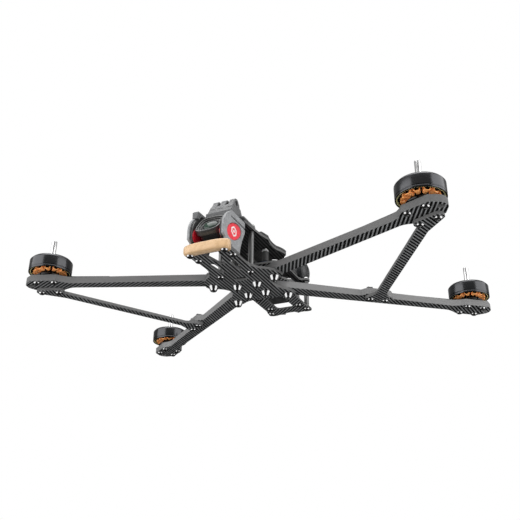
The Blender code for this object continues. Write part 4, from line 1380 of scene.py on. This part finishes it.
def camera():
    """Everything that tilts with the lens; before it is placed, the lens looks along -Y."""
    ahead, up = CAMERA_PIVOT
    spot = Matrix.Translation((0, -ahead * MM, up * MM)) @ Matrix.Rotation(-CAMERA_TILT, 4, "X")
    aim = Matrix.Rotation(math.radians(90), 4, "X")

    def squircle(side, up, corner):
        return rounded([(side, -up), (side, up), (-side, up), (-side, -up)], corner, 12)

    case = baked("case", prism(squircle(9.8, 9.6, 5.6), [], -8.8, 9.2, 1.2, 4), BLACK, aim, 60)
    piece("camera_case", case, "camera", ("camera_housing",), "black_plastic", spot, weighted=True)
    rims = [
        prism(squircle(11.7, 12.7, 9.4), [squircle(10.4, 11.3, 8.5)], 9.3, 14.6, 0.5, 4),
        prism(squircle(10.5, 11.4, 8.6), [squircle(9.3, 9.9, 8.0)], 9.3, 13.6, 0.4, 3),
        prism(squircle(9.6, 10.2, 8.2), [circle((0, 0), 8.5, 48)], 9.3, 12.6, 0.3, 3),
    ]
    hood = baked("hood", gather(*rims), HOOD, aim, 60)
    piece("camera_hood", hood, "camera", ("lens_hood",), "black_plastic", spot, weighted=True)
    profile = [(8.5, 9.4), (8.5, 12.2), (8.2, 12.6), (7.6, 12.6), (7.3, 12.2), (7.3, 11.4), (6.9, 11.4)]
    profile += [(6.9, 9.4), (8.5, 9.4)]
    barrel = baked("barrel", lathe(softened(profile, 0.2)[:-1], 64, closed=True), BLACK, aim)
    piece("lens_barrel", barrel, "camera", slot="black_plastic", place=spot)
    dome = [(0, 9.6), (6.9, 9.6), (6.9, 11.9)]
    dome += [(6.9 * x, 11.9 + 2.9 * y) for x, y in (polar(1, math.pi / 2 * k / 14) for k in range(1, 14))]
    dome.append((0, 14.8))
    element = baked("element", lathe(dome, 64), GLASS, aim, 60)
    piece("front_element", element, "camera", ("lens_glass",), "lens_glass", spot)
    for hand, word in HANDS:
        facing = Matrix.Rotation(math.radians(90 * hand), 4, "Y")
        washer = lathe([(0, 9.6), (3.4, 9.6), (3.4, 11.6), (2.2, 12.0), (2.2, 12.5), (0, 12.5)], 40)
        piece("tilt_washer_" + word, baked("washer", washer, STEEL, facing), "camera", place=spot)


# ---------------------------------------------------------------- floor, light and camera

# lengths here are in metres and powers in watts
FLOOR_HALF = 6
FLOOR_LEVEL = -0.8
FLOOR_TONE = 0.92
FLOOR_GLOW = 0.7
ROOM_BELOW = 0.03
ROOM_ABOVE = 0.3
# name, place, target, width, height, power
LIGHTS = (
    ("softbox_left", (-0.59, -0.60, -0.08), (0, 0, -0.08), 1.0, 1.4, 9.5),
    ("softbox_right", (0.84, 0.07, -0.08), (0, 0, -0.08), 1.0, 1.4, 9.5),
    ("overhead", (0.1, -0.3, 1.3), (0, 0, 0), 1.6, 1.6, 26),
    ("fill", (0.35, -0.85, -0.6), (0, 0, 0), 1.2, 1.2, 9),
)
VIEW_PLACE = (0.2538, -0.5399, -0.2505)
VIEW_AHEAD = (-0.3760, 0.8235, 0.4248)
VIEW_RIGHT = (0.9111, 0.4120, 0.0079)
VIEW_LENS = 48.71


def studio():
    """A pale floor that is there for the eye only, so that it doesn't wash out the dark undersides."""
    p = Paint("pale_floor", 0.8)
    p.colour(p.mix(p.noise(3.0, 2.0), grey(FLOOR_TONE * 0.985), grey(FLOOR_TONE)))
    p.shader.inputs["Emission Color"].default_value = grey(1.0)
    p.shader.inputs["Emission Strength"].default_value = FLOOR_GLOW
    floor_mesh = bpy.data.meshes.new("floor")
    rim = [(-FLOOR_HALF, -FLOOR_HALF, 0), (FLOOR_HALF, -FLOOR_HALF, 0), (FLOOR_HALF, FLOOR_HALF, 0)]
    floor_mesh.from_pydata(rim + [(-FLOOR_HALF, FLOOR_HALF, 0)], [], [(0, 1, 2, 3)])
    floor_mesh.materials.append(p.material)
    floor = put("floor", floor_mesh)
    floor.location = (0, 0, FLOOR_LEVEL)
    floor.visible_glossy = False
    floor.visible_diffuse = False
    surround()


def surround():
    """A white backdrop for the eye, and a dimmer room for the light that falls on the object."""
    world = bpy.data.worlds.new("studio")
    world.use_nodes = True
    tree = world.node_tree
    backdrop = tree.nodes["Background"]
    backdrop.inputs["Color"].default_value = (1, 1, 1, 1)
    room = tree.nodes.new("ShaderNodeBackground")
    room.inputs["Color"].default_value = (1, 1, 1, 1)
    heading = tree.nodes.new("ShaderNodeTexCoord")
    split = tree.nodes.new("ShaderNodeSeparateXYZ")
    level = tree.nodes.new("ShaderNodeMapRange")
    level.inputs["From Min"].default_value = -0.1
    level.inputs["From Max"].default_value = 0.4
    level.inputs["To Min"].default_value = ROOM_BELOW
    level.inputs["To Max"].default_value = ROOM_ABOVE
    tree.links.new(heading.outputs["Generated"], split.inputs[0])
    tree.links.new(split.outputs[2], level.inputs["Value"])
    tree.links.new(level.outputs[0], room.inputs["Strength"])
    seen = tree.nodes.new("ShaderNodeLightPath")
    blend = tree.nodes.new("ShaderNodeMixShader")
    tree.links.new(seen.outputs["Is Camera Ray"], blend.inputs[0])
    tree.links.new(room.outputs[0], blend.inputs[1])
    tree.links.new(backdrop.outputs[0], blend.inputs[2])
    tree.links.new(blend.outputs[0], tree.nodes["World Output"].inputs["Surface"])
    bpy.context.scene.world = world
    bpy.context.scene.view_settings.view_transform = "Standard"


def soft_light(name, place, target, width, height, power):
    lamp = bpy.data.lights.new(name, "AREA")
    lamp.shape = "RECTANGLE"
    lamp.size = width
    lamp.size_y = height
    lamp.energy = power
    made = put(name, lamp)
    made.location = place
    made.rotation_euler = (Vector(target) - Vector(place)).to_track_quat("-Z", "Y").to_euler()
    made.visible_camera = False
    # the fill only lifts the shade and makes no highlights
    made.visible_glossy = name != "fill"


def view():
    lens = bpy.data.cameras.new("view")
    lens.lens = VIEW_LENS
    lens.sensor_width = 36
    lens.clip_start = 0.01
    made = put("view", lens)
    ahead = Vector(VIEW_AHEAD).normalized()
    right = Vector(VIEW_RIGHT)
    right = (right - ahead * right.dot(ahead)).normalized()
    turn = Matrix((right, right.cross(ahead), -ahead)).transposed().to_4x4()
    made.matrix_world = Matrix.Translation(VIEW_PLACE) @ turn
    bpy.context.scene.camera = made


def main():
    studio()
    view()
    for light in LIGHTS:
        soft_light(*light)
    belly()
    middle()
    deck()
    limbs()
    fasteners()
    motors()
    for where, spot, foot in (("front", FRONT_STANDOFF, BELLY_TOP), ("rear", REAR_STANDOFF, MID_TOP)):
        for hand, word in HANDS:
            standoff(where, hand, word, spot, foot + 0.3)
    stack()
    transmitter()
    tail_pod()
    bumper()
    cage()
    cap()
    ear()
    camera()


main()
